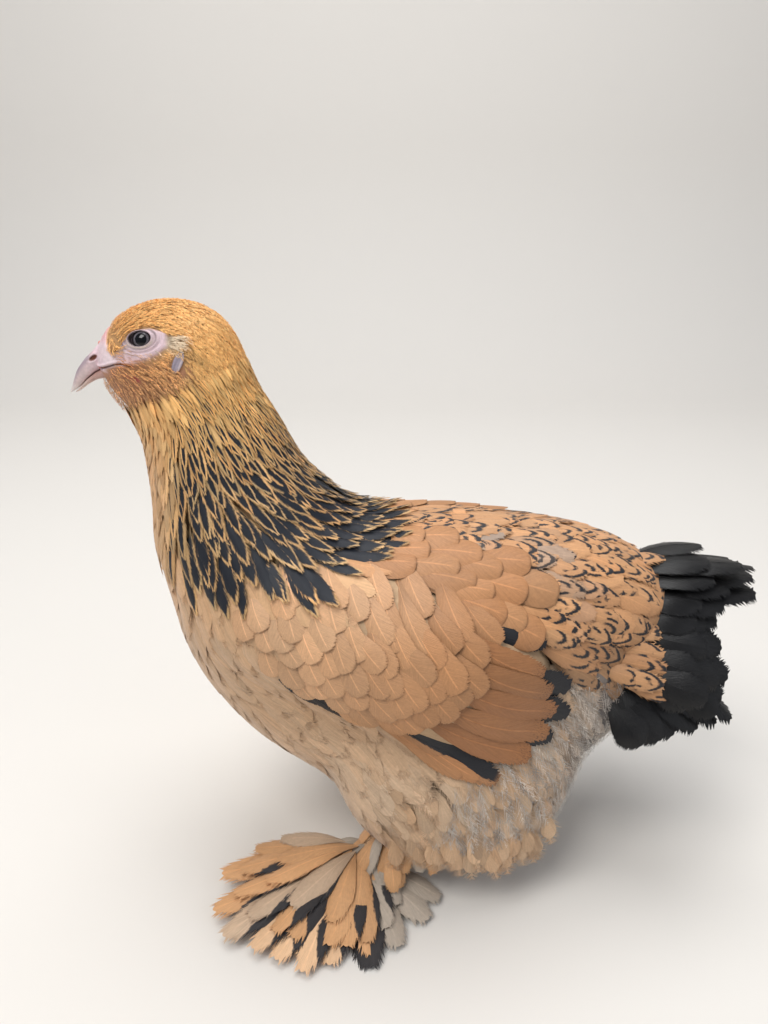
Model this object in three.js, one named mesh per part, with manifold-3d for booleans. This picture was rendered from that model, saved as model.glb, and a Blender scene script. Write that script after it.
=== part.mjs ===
// A Brahma pullet standing still, life size, as a museum shows one.
// Millimetres, +Z up, facing -X, its left side towards -Y, soles on the floor at z = 0.
import * as THREE from "three";
import Module from "manifold-3d";
import { mergeVertices } from "three/addons/utils/BufferGeometryUtils.js";

const wasm = await Module();
wasm.setup();

const V = (x, y, z) => new THREE.Vector3(x, y, z);
const lerp = THREE.MathUtils.lerp;
const clamp = THREE.MathUtils.clamp;
const degrees = THREE.MathUtils.degToRad;

// Facets of each form, around and along it
const FACETS = {
  trunk: [26, 18],
  neck: [22, 12],
  head: [22, 16],
  thigh: [18, 10],
  wing: [24, 10],
  tail: [14, 9],
  eye: [16, 8],
  lid: [4, 14],
  lobe: [10, 6],
  bill: [12, 10],
  nostril: [10, 6],
  comb: [6, 4],
  shank: [8, 6],
  palm: [10, 6],
  toe: [7, 5],
  claw: [6, 5],
  footCore: [10, 7],
};

// Driving dimensions
const GAP = 0.3; // between touching pieces
const BLEND = 9; // how softly the masses of the body run into each other
const SIDES = { left: -1, right: 1 };

// The masses that make the outline of the bird with its coat on: centre, half sizes, and pitch in degrees.
// A paired mass is given for the right side and mirrored.
const MASSES = [
  { name: "breast", at: V(-62, 0, 186), size: V(67, 67, 66), pitch: 0 },
  { name: "keel", at: V(-40, 0, 120), size: V(88, 58, 50), pitch: -38 },
  { name: "trunk", at: V(24, 0, 165), size: V(103, 79, 74), pitch: -3 },
  { name: "belly", at: V(52, 0, 90), size: V(84, 74, 68), pitch: 0 },
  { name: "cushion", at: V(102, 0, 187), size: V(80, 54, 44), pitch: -6 },
  { name: "vent", at: V(116, 0, 136), size: V(54, 56, 53), pitch: 0 },
  { name: "thigh", at: V(44, 47, 74), size: V(68, 40, 60), pitch: 0, paired: true },
  { name: "cape", at: V(-84, 0, 228), size: V(53, 53, 50), pitch: 0 },
  { name: "neck_low", at: V(-96, 0, 272), size: V(39, 36, 46), pitch: 0 },
  { name: "neck_high", at: V(-107, 0, 314), size: V(28, 25, 44), pitch: 0 },
  { name: "skull", at: V(-121, 0, 344), size: V(28, 15, 21), pitch: 0 },
  { name: "face", at: V(-141, 0, 336), size: V(15, 9, 12), pitch: 0 },
  { name: "jaw", at: V(-130, 0, 321), size: V(19, 10, 15), pitch: 0 },
];

// The bulge that the thigh takes out of the body's side, given for the right side.
const THIGH_BULGE = { at: V(44, 66, 74), size: V(66, 46, 62) };

const TORSO_CENTRE = V(24, 0, 150);
const NECK_CENTRE = V(-96, 0, 276);
const HEAD_CENTRE = V(-122, 0, 338);

// Thin cuts between neck and torso, and between head and neck: a point and the way up the neck.
const NECK_CUT = { at: V(-66, 0, 236), up: V(-0.42, 0, 0.91).normalize() };
const HEAD_CUT = { at: V(-118, 0, 304), up: V(-0.3, 0, 0.95).normalize() };

// The folded wing on the side of the body, seen from the side: centre, half length and half depth, pitch,
// its thickness in the middle and at its edge, how far it clears the body, and how square its corners are.
const WING = {
  x: 8,
  z: 180,
  half: 96,
  deep: 43,
  pitch: degrees(-20),
  thick: 11,
  edge: 1.2,
  clear: 2.2,
  power: 2.6,
};

// A feather's blade: half thickness at its middle line, how far its root lies in the core, and its roll.
const BLADE = { half: 0.45, rooted: 2.5, roll: 0.1 };
// Shares of a feather's length where its rows lie, and its half width there.
const ROUND_TIP = { at: [0.3, 0.66, 0.9], wide: [0.75, 1, 0.72] };
const PETAL = { at: [0.34, 0.66, 0.9], wide: [0.5, 1, 0.72] };
const LANCET = { at: [0.3, 0.62, 0.85], wide: [0.85, 1, 0.6] };

// The hackle, in rings down the neck: where on the neck's axis, the ring's tilt, and its feathers.
const HACKLE = [
  { axis: V(-104, 0, 296), tilt: 0.32, count: 13, long: 40, half: 8, lift: 2.6 },
  { axis: V(-97, 0, 268), tilt: 0.36, count: 16, long: 48, half: 9.5, lift: 3.4 },
  { axis: V(-88, 0, 243), tilt: 0.42, count: 18, long: 56, half: 11.5, lift: 4.2 },
];
const HACKLE_FLOW = V(0.25, 0, -1);
const NECK_REACH = 45; // from the neck's axis to about its surface

// The saddle, in rows across the back.
const SADDLE = [
  { x: -2, z: 240, count: 3, across: 32, half: 13, long: 54, lift: 3.6 },
  { x: 34, z: 242, count: 4, across: 44, half: 13, long: 54, lift: 3.6 },
  { x: 70, z: 238, count: 5, across: 50, half: 12.5, long: 52, lift: 3.6 },
  { x: 104, z: 232, count: 5, across: 44, half: 11.5, long: 46, lift: 3.6 },
];
const SADDLE_FLOW = V(1, 0, -0.1);

// Rows of feathers on the folded wing, in its own chart: shares of its half length and half depth
// where the row's first and last feathers have their roots and tips; then half width and lift.
const wingRowOf = (count, roots, tips, half, lift) => ({ count, roots, tips, half, lift });
const WING_ROWS = {
  primaries: wingRowOf(3, [0.1, -0.6, 0, -0.75], [0.68, -1.12, 0.5, -1.24], 8, 1.2),
  flights: wingRowOf(5, [0.3, 0.4, 0.1, -0.55], [0.98, 0.7, 0.94, -0.86], 12, 2.4),
  secondaries: wingRowOf(5, [-0.05, 0.5, -0.15, -0.5], [0.62, 0.6, 0.46, -0.9], 12, 2.8),
  coverts: wingRowOf(5, [-0.4, 0.6, -0.42, -0.5], [0.22, 0.68, 0.04, -0.9], 11.5, 3),
  small: wingRowOf(4, [-0.74, 0.5, -0.72, -0.4], [-0.16, 0.7, -0.3, -0.78], 12, 3),
};
const WING_SAG = 0.12; // how far a wing feather's middle hangs below the line from root to tip

// The tail: a tent of broad feathers carried low behind the cushion, with shorter ones over their roots.
const TAIL = { root: V(150, 0, 174), core: V(36, 46, 43) };
const TAIL_FEATHERS = {
  perSide: 6,
  root: { top: V(158, 4, 192), low: V(158, 30, 154) },
  tip: { top: V(241, 8, 200), low: V(196, 64, 132) },
  half: 12.5,
  bow: 6,
};
const TAIL_COVERTS = {
  perSide: 4,
  root: { top: V(146, 5, 212), low: V(152, 40, 172) },
  tip: { top: V(190, 6, 224), low: V(190, 60, 160) },
  half: 11.5,
  bow: 5,
};

// Which way the flat of a tail feather faces, at the top of the tent and low on its side.
const TAIL_LIE = { top: V(0, 0.25, 0.95), low: V(0, 0.95, 0.3) };

// Legs and feet. The left foot is a little ahead.
const LEGS = {
  left: { hock: V(26, -50, 66), ankle: V(-19, -60, 15), yaw: degrees(22) },
  right: { hock: V(52, 50, 66), ankle: V(30, 64, 15), yaw: degrees(22) },
};
const SHANK = { top: 9, low: 6.5, ankle: 7.15, floor: 12 };
const PALM = { height: 6.5, size: V(11, 10, 7.5) };
const TOE_TAPER = [1.1, 1, 1, 0.78];
// Where along a toe its points lie, how high it starts, and how far its end is pressed on the floor.
const TOE = { steps: [0, 0.35, 0.7, 1], start: 7, sunk: 0.72 };
const TOES = [
  { name: "middle", turn: 0, long: 58, thick: 5.6 },
  { name: "inner", turn: -34, long: 44, thick: 5.2 },
  { name: "outer", turn: 38, long: 48, thick: 5.2 },
  { name: "hind", turn: 172, long: 24, thick: 4.4 },
];
const CLAW = {
  thick: 2.6,
  taper: 0.65,
  point: 0.5,
  steps: [-2, 2, 6.6, 11],
  heights: [4.6, 4.9, 3.9, 1.2],
};
// The feathers on the outer side of the foot, by their heading from the middle toe, in degrees.
const FOOT_CORE = { out: 9, high: 16, size: V(13, 10, 6) };
const FOOT_ROWS = [
  { count: 5, from: -26, to: 58, long: [86, 58], half: 11, start: 18, end: 15.5 },
  { count: 5, from: 74, to: 136, long: [58, 56], half: 10.5, start: 15, end: 3.5 },
];
// The most by which one is shorter than the longest, and how fast that comes and goes round the foot.
const FOOT_RAGGED = { most: 0.16, turns: 17 };
const FOOT_ROOTED = 0.06; // the share of its length at which a foot feather starts
// The tufts that hang from the thigh.
const HEM = { count: 5, from: 26, to: 86, z: 58, long: 37, half: 10, lift: 3.4, flow: V(0.12, 0, -1) };

// Head details
const EYE = { x: -130.8, z: 351, sunk: 2.6, radius: 6.6, flat: 0.72, lid: 1.4 };
const LOBE = { x: -110.5, z: 338.5, size: V(4.5, 3.2, 9) };
const COMB = {
  from: V(-149, 0, 357),
  to: V(-161, 0, 349.5),
  bump: V(1, 0.8, 1.3),
  rows: [
    { y: -3.2, count: 3, start: 0.12, end: 0.85, size: 2.56, drop: 1.44 },
    { y: 0, count: 4, start: 0, end: 1, size: 3.38, drop: 0 },
    { y: 3.2, count: 3, start: 0.12, end: 0.85, size: 2.56, drop: 1.44 },
  ],
};
const BILL = {
  base: -146,
  tip: -180.5,
  culmen: [352, 351, 347, 341.5, 336.8, 330.5, 319],
  mouth: [334.5, 333.4, 331.8, 328.6, 324.4, 319.4, 316.6],
  chin: [327, 326, 325.6, 324.6, 321.6, 317.4, 315],
  halfWidth: [8.5, 8, 7, 5.8, 4.4, 2.9, 1.2],
};
const NOSTRIL = { at: V(-162.4, 5.4, 337.4), size: V(2.6, 2, 1.4) };

// The body as a field: how far a point lies outside the smooth union of the masses

const masses = MASSES.flatMap((m) => {
  const one = { ...m, cos: Math.cos(degrees(m.pitch)), sin: Math.sin(degrees(m.pitch)) };
  if (!m.paired) return [one];
  return [one, { ...one, at: V(m.at.x, -m.at.y, m.at.z) }];
});

// Distance to an ellipsoid, near enough for small distances.
function fromMass(m, x, y, z) {
  const dx = x - m.at.x;
  const dy = y - m.at.y;
  const dz = z - m.at.z;
  const px = (dx * m.cos + dz * m.sin) / m.size.x;
  const py = dy / m.size.y;
  const pz = (dz * m.cos - dx * m.sin) / m.size.z;
  const near = Math.hypot(px, py, pz);
  const slope = Math.hypot(px / m.size.x, py / m.size.y, pz / m.size.z) + 1e-9;
  return (near * (near - 1)) / slope;
}

function body(p) {
  const away = masses.map((m) => fromMass(m, p.x, p.y, p.z));
  const least = Math.min(...away);
  const sum = away.reduce((s, d) => s + Math.exp((least - d) / BLEND), 0);
  return least - BLEND * Math.log(sum);
}

// The outward direction of the body's surface near a point.
function outward(p, field = body) {
  const step = 0.4;
  const along = (dx, dy, dz) =>
    field(V(p.x + dx, p.y + dy, p.z + dz)) - field(V(p.x - dx, p.y - dy, p.z - dz));
  return V(along(step, 0, 0), along(0, step, 0), along(0, 0, step)).normalize();
}

// Moves a point square to a surface until it lies at that height over it.
function settle(p, height, field = body) {
  const q = p.clone();
  for (let i = 0; i < 5; i++) q.addScaledVector(outward(q, field), height - field(q));
  return q;
}

// The point over (x, z) on one side that lies at that height over the body.
function onSide(x, z, side, height) {
  let y = 60;
  for (let i = 0; i < 24; i++) y += 0.8 * (height - body(V(x, y * side, z)));
  return V(x, y * side, z);
}

// Solids

// A closed solid from a geometry, turned outside out where its profile ran the other way.
const solidOf = (geometry) => {
  const g = geometry.clone();
  for (const name of Object.keys(g.attributes)) if (name !== "position") g.deleteAttribute(name);
  const merged = mergeVertices(g, 1e-4);
  const triangles = new Uint32Array(merged.index.array);
  const closed = () =>
    new wasm.Manifold(
      new wasm.Mesh({
        numProp: 3,
        vertProperties: merged.attributes.position.array,
        triVerts: triangles,
      }),
    );
  const solid = closed();
  if (solid.volume() > 0) return solid;
  triangles.reverse();
  return closed();
};

const geometryOf = (solid) => {
  const mesh = solid.getMesh();
  const g = new THREE.BufferGeometry();
  g.setAttribute("position", new THREE.BufferAttribute(new Float32Array(mesh.vertProperties), 3));
  g.setIndex(new THREE.BufferAttribute(new Uint32Array(mesh.triVerts), 1));
  g.computeVertexNormals();
  return g;
};

const largest = (solid) =>
  solid.decompose().reduce((a, b) => (b.volume() > a.volume() ? b : a));

const joined = (solids) => solids.reduce((a, b) => a.add(b));

// A sphere's grid whose every vertex is placed by a function of its unit direction.
function shaped([around, along], place) {
  const g = new THREE.SphereGeometry(1, around, along);
  const p = g.attributes.position;
  for (let i = 0; i < p.count; i++) {
    const q = place(V(p.getX(i), p.getY(i), p.getZ(i)));
    p.setXYZ(i, q.x, q.y, q.z);
  }
  return solidOf(g);
}

// How the surface is looked for along a ray: in strides, then by halving the last one.
const SEARCH = { stride: 4, most: 400, halvings: 22 };

// The part of a field's inside that a centre sees, with its poles along an axis; level grows it.
function seenFrom(centre, poles, stretch, facets, field, level = 0) {
  const turn = new THREE.Quaternion().setFromUnitVectors(V(0, 1, 0), poles);
  return shaped(facets, (unit) => {
    const way = unit.clone().applyQuaternion(turn).multiply(stretch).normalize();
    const at = (r) => field(centre.clone().addScaledVector(way, r)) - level;
    let far = SEARCH.stride;
    while (at(far) < 0 && far < SEARCH.most) far += SEARCH.stride;
    let near = far - SEARCH.stride;
    for (let i = 0; i < SEARCH.halvings; i++) {
      const middle = (near + far) / 2;
      if (at(middle) < 0) near = middle;
      else far = middle;
    }
    return centre.clone().addScaledVector(way, near);
  });
}

// How far a point lies above a cut.
const above = (cut, p) => p.clone().sub(cut.at).dot(cut.up);

// Everything on one side of a cut, as a big block; shift moves its face up the neck.
function block(cut, side, shift) {
  const big = 900;
  const g = new THREE.BoxGeometry(big, big, big);
  g.translate(0, 0, (side * big) / 2);
  g.applyQuaternion(new THREE.Quaternion().setFromUnitVectors(V(0, 0, 1), cut.up));
  const face = cut.at.clone().addScaledVector(cut.up, shift);
  g.translate(face.x, face.y, face.z);
  return solidOf(g);
}

function ellipsoid(at, size, facets, grow = 0) {
  return shaped(facets, (u) =>
    V(
      at.x + u.x * (size.x + grow),
      at.y + u.z * (size.y + grow),
      at.z + u.y * (size.z + grow),
    ),
  );
}

// How soon a bar reaches its full thickness from its round ends.
const BAR_FULLNESS = 1.7;

// A round bar through points, thick as told at each, with closed round ends.
function bar(points, radii, facets, grow = 0) {
  const curve = new THREE.CatmullRomCurve3(points);
  const last = points.length - 1;
  const radius = (t) => {
    const i = Math.min(Math.floor(t * last), last - 1);
    return lerp(radii[i], radii[i + 1], t * last - i) + grow;
  };
  return shaped(facets, (u) => {
    const polar = Math.acos(clamp(-u.y, -1, 1));
    const t = polar / Math.PI;
    const soft = Math.min(1, Math.sin(polar) * BAR_FULLNESS);
    const tangent = curve.getTangentAt(t);
    const right = V(0, 1, 0).cross(tangent).normalize();
    const up = tangent.clone().cross(right);
    const angle = Math.atan2(u.z, u.x);
    const end = t < 0.5 ? -1 : 1;
    const reach = end * radius(t) * 0.5 * (1 - soft);
    return curve
      .getPointAt(t)
      .addScaledVector(tangent, reach)
      .addScaledVector(right, Math.cos(angle) * radius(t) * soft)
      .addScaledVector(up, Math.sin(angle) * radius(t) * soft);
  });
}

const mirrored = (p, side) => V(p.x, Math.abs(p.y) * side, p.z);

// Feathers

// One feather's blade: closed, a diamond in section, split alike on both faces, pointed at root and tip.
function blade(points, normals, form, half, roll) {
  const last = points.length - 1;
  const vertices = [points[0]];
  const faces = [];
  for (let i = 1; i < last; i++) {
    const along = points[i + 1].clone().sub(points[i - 1]).normalize();
    const across = normals[i].clone().cross(along).normalize();
    const up = along.clone().cross(across);
    const reach = half * form.wide[i - 1];
    const edge = across.clone().addScaledVector(up, roll).multiplyScalar(reach);
    vertices.push(
      points[i].clone().sub(edge),
      points[i].clone().addScaledVector(up, BLADE.half),
      points[i].clone().add(edge),
      points[i].clone().addScaledVector(up, -BLADE.half),
    );
  }
  vertices.push(points[last]);
  const tip = vertices.length - 1;
  for (const [edge, middle] of [[0, 1], [2, 1], [2, 3], [0, 3]]) {
    const sameWay = (edge === 0) === (middle === 1);
    const face = (a, b, c) => faces.push(...(sameWay ? [a, b, c] : [a, c, b]));
    face(0, 1 + edge, 1 + middle);
    for (let row = 1; row < tip - 4; row += 4) {
      face(row + edge, row + 4 + edge, row + 4 + middle);
      face(row + edge, row + 4 + middle, row + middle);
    }
    face(tip - 4 + edge, tip, tip - 4 + middle);
  }
  const g = new THREE.BufferGeometry().setFromPoints(vertices);
  g.setIndex(faces);
  return solidOf(g);
}

// A list of things made at even shares from 0 to 1.
const spread = (count, make) => Array.from({ length: count }, (_, i) => make(i / (count - 1)));

// How high a feather lies over what it grows from, from its sunken root to its lifted tip.
const liftAt = (t, lift) => lerp(-BLADE.rooted, lift, Math.min(1, t * 1.6)) + (lift / 3) * t;

// A feather that follows a surface: rooted under it, lying along the flow and lifting towards its tip.
function feather(start, flow, form, size, roll, field = body) {
  let p = start;
  let before = 0;
  const points = [0, ...form.at, 1].map((t) => {
    const normal = outward(p, field);
    const way = flow.clone().addScaledVector(normal, -flow.dot(normal)).normalize();
    p = settle(p.clone().addScaledVector(way, size.long * (t - before)), liftAt(t, size.lift), field);
    before = t;
    return p;
  });
  return blade(points, points.map((q) => outward(q, field)), form, size.half, roll);
}

// Torso, thighs, neck and head: one body parted with thin cuts

const CUT_MARGIN = 10;
const belowNeck = (p) => Math.max(body(p), above(NECK_CUT, p) - CUT_MARGIN);
const neckOnly = (p) =>
  Math.max(body(p), -above(NECK_CUT, p) - CUT_MARGIN, above(HEAD_CUT, p) - CUT_MARGIN);
const headOnly = (p) => Math.max(body(p), -above(HEAD_CUT, p) - CUT_MARGIN);

const trunkSolid = (level) =>
  seenFrom(TORSO_CENTRE, V(1, 0, 0), V(1.5, 1, 1), FACETS.trunk, belowNeck, level);
const neckSolid = () =>
  seenFrom(NECK_CENTRE, V(0, 0, 1), V(1, 1, 1.4), FACETS.neck, neckOnly);
const headSolid = (level) =>
  seenFrom(HEAD_CENTRE, V(-1, 0, 0), V(1.2, 1, 1), FACETS.head, headOnly, level);

const thighCutter = (side, grow) =>
  ellipsoid(mirrored(THIGH_BULGE.at, side), THIGH_BULGE.size, FACETS.thigh, grow);

const wholeTrunk = trunkSolid(0);
const wholeTrunkGrown = trunkSolid(GAP);

const saddle = () =>
  SADDLE.flatMap((row) =>
    spread(row.count, (share) => {
      const start = settle(V(row.x, lerp(-row.across, row.across, share), row.z), 0);
      return feather(start, SADDLE_FLOW, ROUND_TIP, row, BLADE.roll);
    }),
  );

function makeTorso() {
  let torso = wholeTrunk.subtract(block(NECK_CUT, 1, -GAP / 2));
  for (const side of Object.values(SIDES)) torso = torso.subtract(thighCutter(side, GAP));
  return largest(joined([torso, ...saddle()]));
}

function makeThigh(side) {
  const core = wholeTrunk.intersect(thighCutter(side, 0));
  const tufts = spread(HEM.count, (share) => {
    const start = onSide(lerp(HEM.from, HEM.to, share), HEM.z, side, 0);
    return feather(start, HEM.flow, LANCET, HEM, side * BLADE.roll);
  });
  return largest(joined([core, ...tufts]));
}

// How far out a point of the wing's own chart lies, from 0 at its middle to 1 at its edge.
const wingShare = (u, v) =>
  (Math.abs(u) ** WING.power + Math.abs(v) ** WING.power) ** (1 / WING.power);

// How thick the folded wing is at a point of its own chart.
const wingSwell = (u, v) =>
  WING.edge + (WING.thick - WING.edge) * Math.max(0, 1 - wingShare(u, v) ** 3);

// Where in its chart the wing's thickness fades out, and how far from the middle line its side begins.
const WING_FADE = { in: 1, out: 1.25 };
const FLANK = { from: 12, to: 52 };

// The body with the folded wings on it, which the hackle lies over.
function dressed(p) {
  const dx = p.x - WING.x;
  const dz = p.z - WING.z;
  const u = (dx * Math.cos(WING.pitch) + dz * Math.sin(WING.pitch)) / WING.half;
  const v = (dz * Math.cos(WING.pitch) - dx * Math.sin(WING.pitch)) / WING.deep;
  const onFlank = clamp((Math.abs(p.y) - FLANK.from) / (FLANK.to - FLANK.from), 0, 1);
  const near = clamp((WING_FADE.out - wingShare(u, v)) / (WING_FADE.out - WING_FADE.in), 0, 1);
  return body(p) - near * onFlank * (WING.clear + wingSwell(u, v));
}

// The hackle's feathers, ring by ring, each rooted where a ray from the neck's axis leaves the neck.
function hackle() {
  return HACKLE.flatMap((ring) =>
    Array.from({ length: ring.count }, (_, i) => {
      const angle = ((i + 0.5) / ring.count) * 2 * Math.PI;
      const way = V(Math.cos(angle), Math.sin(angle), ring.tilt * Math.cos(angle)).normalize();
      const start = settle(ring.axis.clone().addScaledVector(way, NECK_REACH), 0);
      return feather(start, HACKLE_FLOW, LANCET, ring, BLADE.roll, dressed);
    }),
  );
}

function makeNeck() {
  const core = neckSolid()
    .subtract(block(NECK_CUT, -1, GAP / 2))
    .subtract(block(HEAD_CUT, 1, -GAP / 2));
  return largest(joined([core, ...hackle()]));
}

// Head: skin with sockets and lids, and what it carries

const eyeAt = (side) => {
  const p = onSide(EYE.x, EYE.z, side, 0);
  return p.setY(p.y - EYE.sunk * side);
};
const eyeball = (side, grow = 0) => {
  const r = EYE.radius;
  return ellipsoid(eyeAt(side), V(r, r * EYE.flat, r), FACETS.eye, grow);
};

// The lids ring the eye at this share of its radius.
const LID_SHARE = 0.93;

function lidRing(side) {
  const g = new THREE.TorusGeometry(EYE.radius * LID_SHARE, EYE.lid, ...FACETS.lid);
  g.rotateX(Math.PI / 2);
  const at = eyeAt(side);
  g.translate(at.x, at.y + side * EYE.sunk, at.z);
  return solidOf(g);
}

function makeHead() {
  let head = headSolid(0).subtract(block(HEAD_CUT, -1, GAP / 2));
  for (const side of Object.values(SIDES))
    head = head.add(lidRing(side)).subtract(eyeball(side, GAP));
  return largest(head);
}

const headGrown = headSolid(GAP);

// A line through evenly spaced heights along the bill.
const heightsAt = (heights, t) => {
  const i = Math.min(Math.floor(t * (heights.length - 1)), heights.length - 2);
  return lerp(heights[i], heights[i + 1], t * (heights.length - 1) - i);
};

// How blunt the bill's ends are, how square its section, and how its lower half fits under the upper.
const BILL_FORM = { bluntness: 2.2, squareness: 0.8, lip: 0.8, lowerWidth: 0.86, lowerLength: 0.86 };

function bill(top, bottom, widthShare, lastT) {
  return shaped(FACETS.bill, (u) => {
    const t = (Math.acos(clamp(u.y, -1, 1)) / Math.PI) * lastT;
    const angle = Math.atan2(u.z, u.x);
    const high = heightsAt(top, t);
    const low = heightsAt(bottom, t);
    const pinch = Math.min(1, Math.hypot(u.x, u.z) * BILL_FORM.bluntness);
    const wide = heightsAt(BILL.halfWidth, t) * widthShare * pinch;
    const half = ((high - low) / 2) * pinch;
    return V(
      lerp(BILL.base, BILL.tip, t),
      Math.sign(Math.cos(angle)) * Math.abs(Math.cos(angle)) ** BILL_FORM.squareness * wide,
      (high + low) / 2 + Math.sin(angle) * half,
    );
  });
}

function makeBillUpper() {
  let upper = bill(BILL.culmen, BILL.mouth, 1, 1);
  for (const side of Object.values(SIDES))
    upper = upper.subtract(ellipsoid(mirrored(NOSTRIL.at, side), NOSTRIL.size, FACETS.nostril));
  return largest(upper.subtract(headGrown));
}

function makeBillLower() {
  const lip = BILL.mouth.map((z) => z - BILL_FORM.lip);
  const lower = bill(lip, BILL.chin, BILL_FORM.lowerWidth, BILL_FORM.lowerLength);
  return largest(lower.subtract(headGrown));
}

// A pea comb: three low rows of bumps, the middle one larger and longer, the outer ones a little lower.
function makeComb() {
  const bumps = COMB.rows.flatMap((row) =>
    spread(row.count, (share) => {
      const at = COMB.from.clone().lerp(COMB.to, lerp(row.start, row.end, share));
      at.y = row.y;
      at.z -= row.drop;
      return ellipsoid(at, COMB.bump.clone().multiplyScalar(row.size), FACETS.comb);
    }),
  );
  const billGrown = bill(BILL.culmen.map((z) => z + GAP), BILL.mouth, 1.05, 1);
  return largest(joined(bumps).subtract(headGrown).subtract(billGrown));
}

const makeLobe = (side) =>
  largest(
    ellipsoid(onSide(LOBE.x, LOBE.z, side, 0), LOBE.size, FACETS.lobe).subtract(headGrown),
  );

// Folded wings

// A point of the wing's own chart, in shares of its half length and half depth, as x and z.
const wingPoint = (u, v) => {
  const a = u * WING.half;
  const b = v * WING.deep;
  return [
    WING.x + a * Math.cos(WING.pitch) - b * Math.sin(WING.pitch),
    WING.z + a * Math.sin(WING.pitch) + b * Math.cos(WING.pitch),
  ];
};

function makeWingCore(side) {
  return shaped(FACETS.wing, (unit) => {
    const angle = Math.atan2(unit.z, unit.x);
    const share = Math.hypot(unit.x, unit.z);
    const round = (w) => Math.sign(w) * Math.abs(w) ** (2 / WING.power) * share;
    const u = round(Math.cos(angle));
    const v = round(Math.sin(angle));
    const outer = unit.y * side > 0;
    return onSide(...wingPoint(u, v), side, WING.clear + (outer ? wingSwell(u, v) : 0));
  });
}

// The feathers of one row, each lying a little over the next one down.
function wingRow(row, side) {
  return spread(row.count, (share) => {
    const root = [lerp(row.roots[0], row.roots[2], share), lerp(row.roots[1], row.roots[3], share)];
    const tip = [lerp(row.tips[0], row.tips[2], share), lerp(row.tips[1], row.tips[3], share)];
    const points = [0, ...ROUND_TIP.at, 1].map((t) => {
      const u = lerp(root[0], tip[0], t);
      const v = lerp(root[1], tip[1], t) - WING_SAG * Math.sin(Math.PI * t);
      return onSide(...wingPoint(u, v), side, WING.clear + wingSwell(u, v) + liftAt(t, row.lift));
    });
    return blade(points, points.map((p) => outward(p)), ROUND_TIP, row.half, -side * BLADE.roll);
  });
}

const wingRows = (side) => Object.values(WING_ROWS).flatMap((row) => wingRow(row, side));

const makeWing = (side) => largest(joined([makeWingCore(side), ...wingRows(side)]));

// Tail

// One side of a fan of feathers, from its top to its bottom, bowed outwards.
function fan(part, side) {
  return spread(part.perSide, (share) => {
    const end = (pair) => mirrored(pair.top.clone().lerp(pair.low, share), side);
    const root = end(part.root);
    const tip = end(part.tip);
    const lie = V(
      0,
      lerp(TAIL_LIE.top.y, TAIL_LIE.low.y, share) * side,
      lerp(TAIL_LIE.top.z, TAIL_LIE.low.z, share),
    ).normalize();
    const points = [0, ...ROUND_TIP.at, 1].map((t) =>
      root.clone().lerp(tip, t).addScaledVector(lie, part.bow * Math.sin(Math.PI * t)),
    );
    return blade(points, points.map(() => lie), ROUND_TIP, part.half, side * BLADE.roll);
  });
}

function makeTail() {
  const stub = ellipsoid(TAIL.root, TAIL.core, FACETS.tail);
  const feathers = Object.values(SIDES).flatMap((side) => [
    ...fan(TAIL_FEATHERS, side),
    ...fan(TAIL_COVERTS, side),
  ]);
  return largest(joined([stub, ...feathers]).subtract(wholeTrunkGrown));
}

// Legs and feet

const heading = (leg, side, turn) => {
  const angle = leg.yaw + degrees(turn);
  return V(-Math.cos(angle), Math.sin(angle) * side, 0);
};

function toePoints(leg, side, toe) {
  const way = heading(leg, side, toe.turn);
  return TOE.steps.map((t) =>
    leg.ankle
      .clone()
      .addScaledVector(way, toe.long * t)
      .setZ(lerp(TOE.start, toe.thick * TOE.sunk, t)),
  );
}

const toeBar = (leg, side, toe, grow) =>
  bar(toePoints(leg, side, toe), TOE_TAPER.map((k) => k * toe.thick), FACETS.toe, grow);

const palm = (leg, grow) =>
  ellipsoid(leg.ankle.clone().setZ(PALM.height), PALM.size, FACETS.palm, grow);

function shankBar(leg, grow) {
  const foot = leg.ankle.clone().setZ(SHANK.floor + 1);
  const half = leg.hock.clone().lerp(foot, 0.5);
  return bar([leg.hock, half, foot], [SHANK.top, SHANK.low, SHANK.ankle], FACETS.shank, grow);
}

function clawBar(leg, side, toe, grow) {
  const way = heading(leg, side, toe.turn);
  const tip = toePoints(leg, side, toe)[3];
  const points = CLAW.steps.map((d, i) =>
    tip.clone().addScaledVector(way, d).setZ(CLAW.heights[i]),
  );
  const r = CLAW.thick * (toe.thick / TOES[0].thick);
  return bar(points, [r, r, r * CLAW.taper, CLAW.point], FACETS.claw, grow);
}

const level = (z) => ({ at: V(0, 0, z), up: V(0, 0, 1) });

const makeShank = (leg) =>
  largest(
    shankBar(leg, 0).subtract(wholeTrunkGrown).subtract(block(level(SHANK.floor), -1, GAP)),
  );

const makeFoot = (leg, side) =>
  largest(
    joined([palm(leg, 0), ...TOES.map((toe) => toeBar(leg, side, toe, 0))])
      .subtract(block(level(0), -1, 0))
      .subtract(block(level(SHANK.floor), 1, 0)),
  );

const makeClaw = (leg, side, toe) =>
  largest(
    clawBar(leg, side, toe, 0)
      .subtract(toeBar(leg, side, toe, GAP))
      .subtract(block(level(GAP), -1, 0)),
  );

// The leg and foot grown by the gap, to be cut from what grows over them.
const legGrown = (leg, side) =>
  joined([
    shankBar(leg, GAP),
    palm(leg, GAP),
    ...TOES.map((toe) => toeBar(leg, side, toe, GAP)),
    ...TOES.map((toe) => clawBar(leg, side, toe, GAP)),
  ]);

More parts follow.
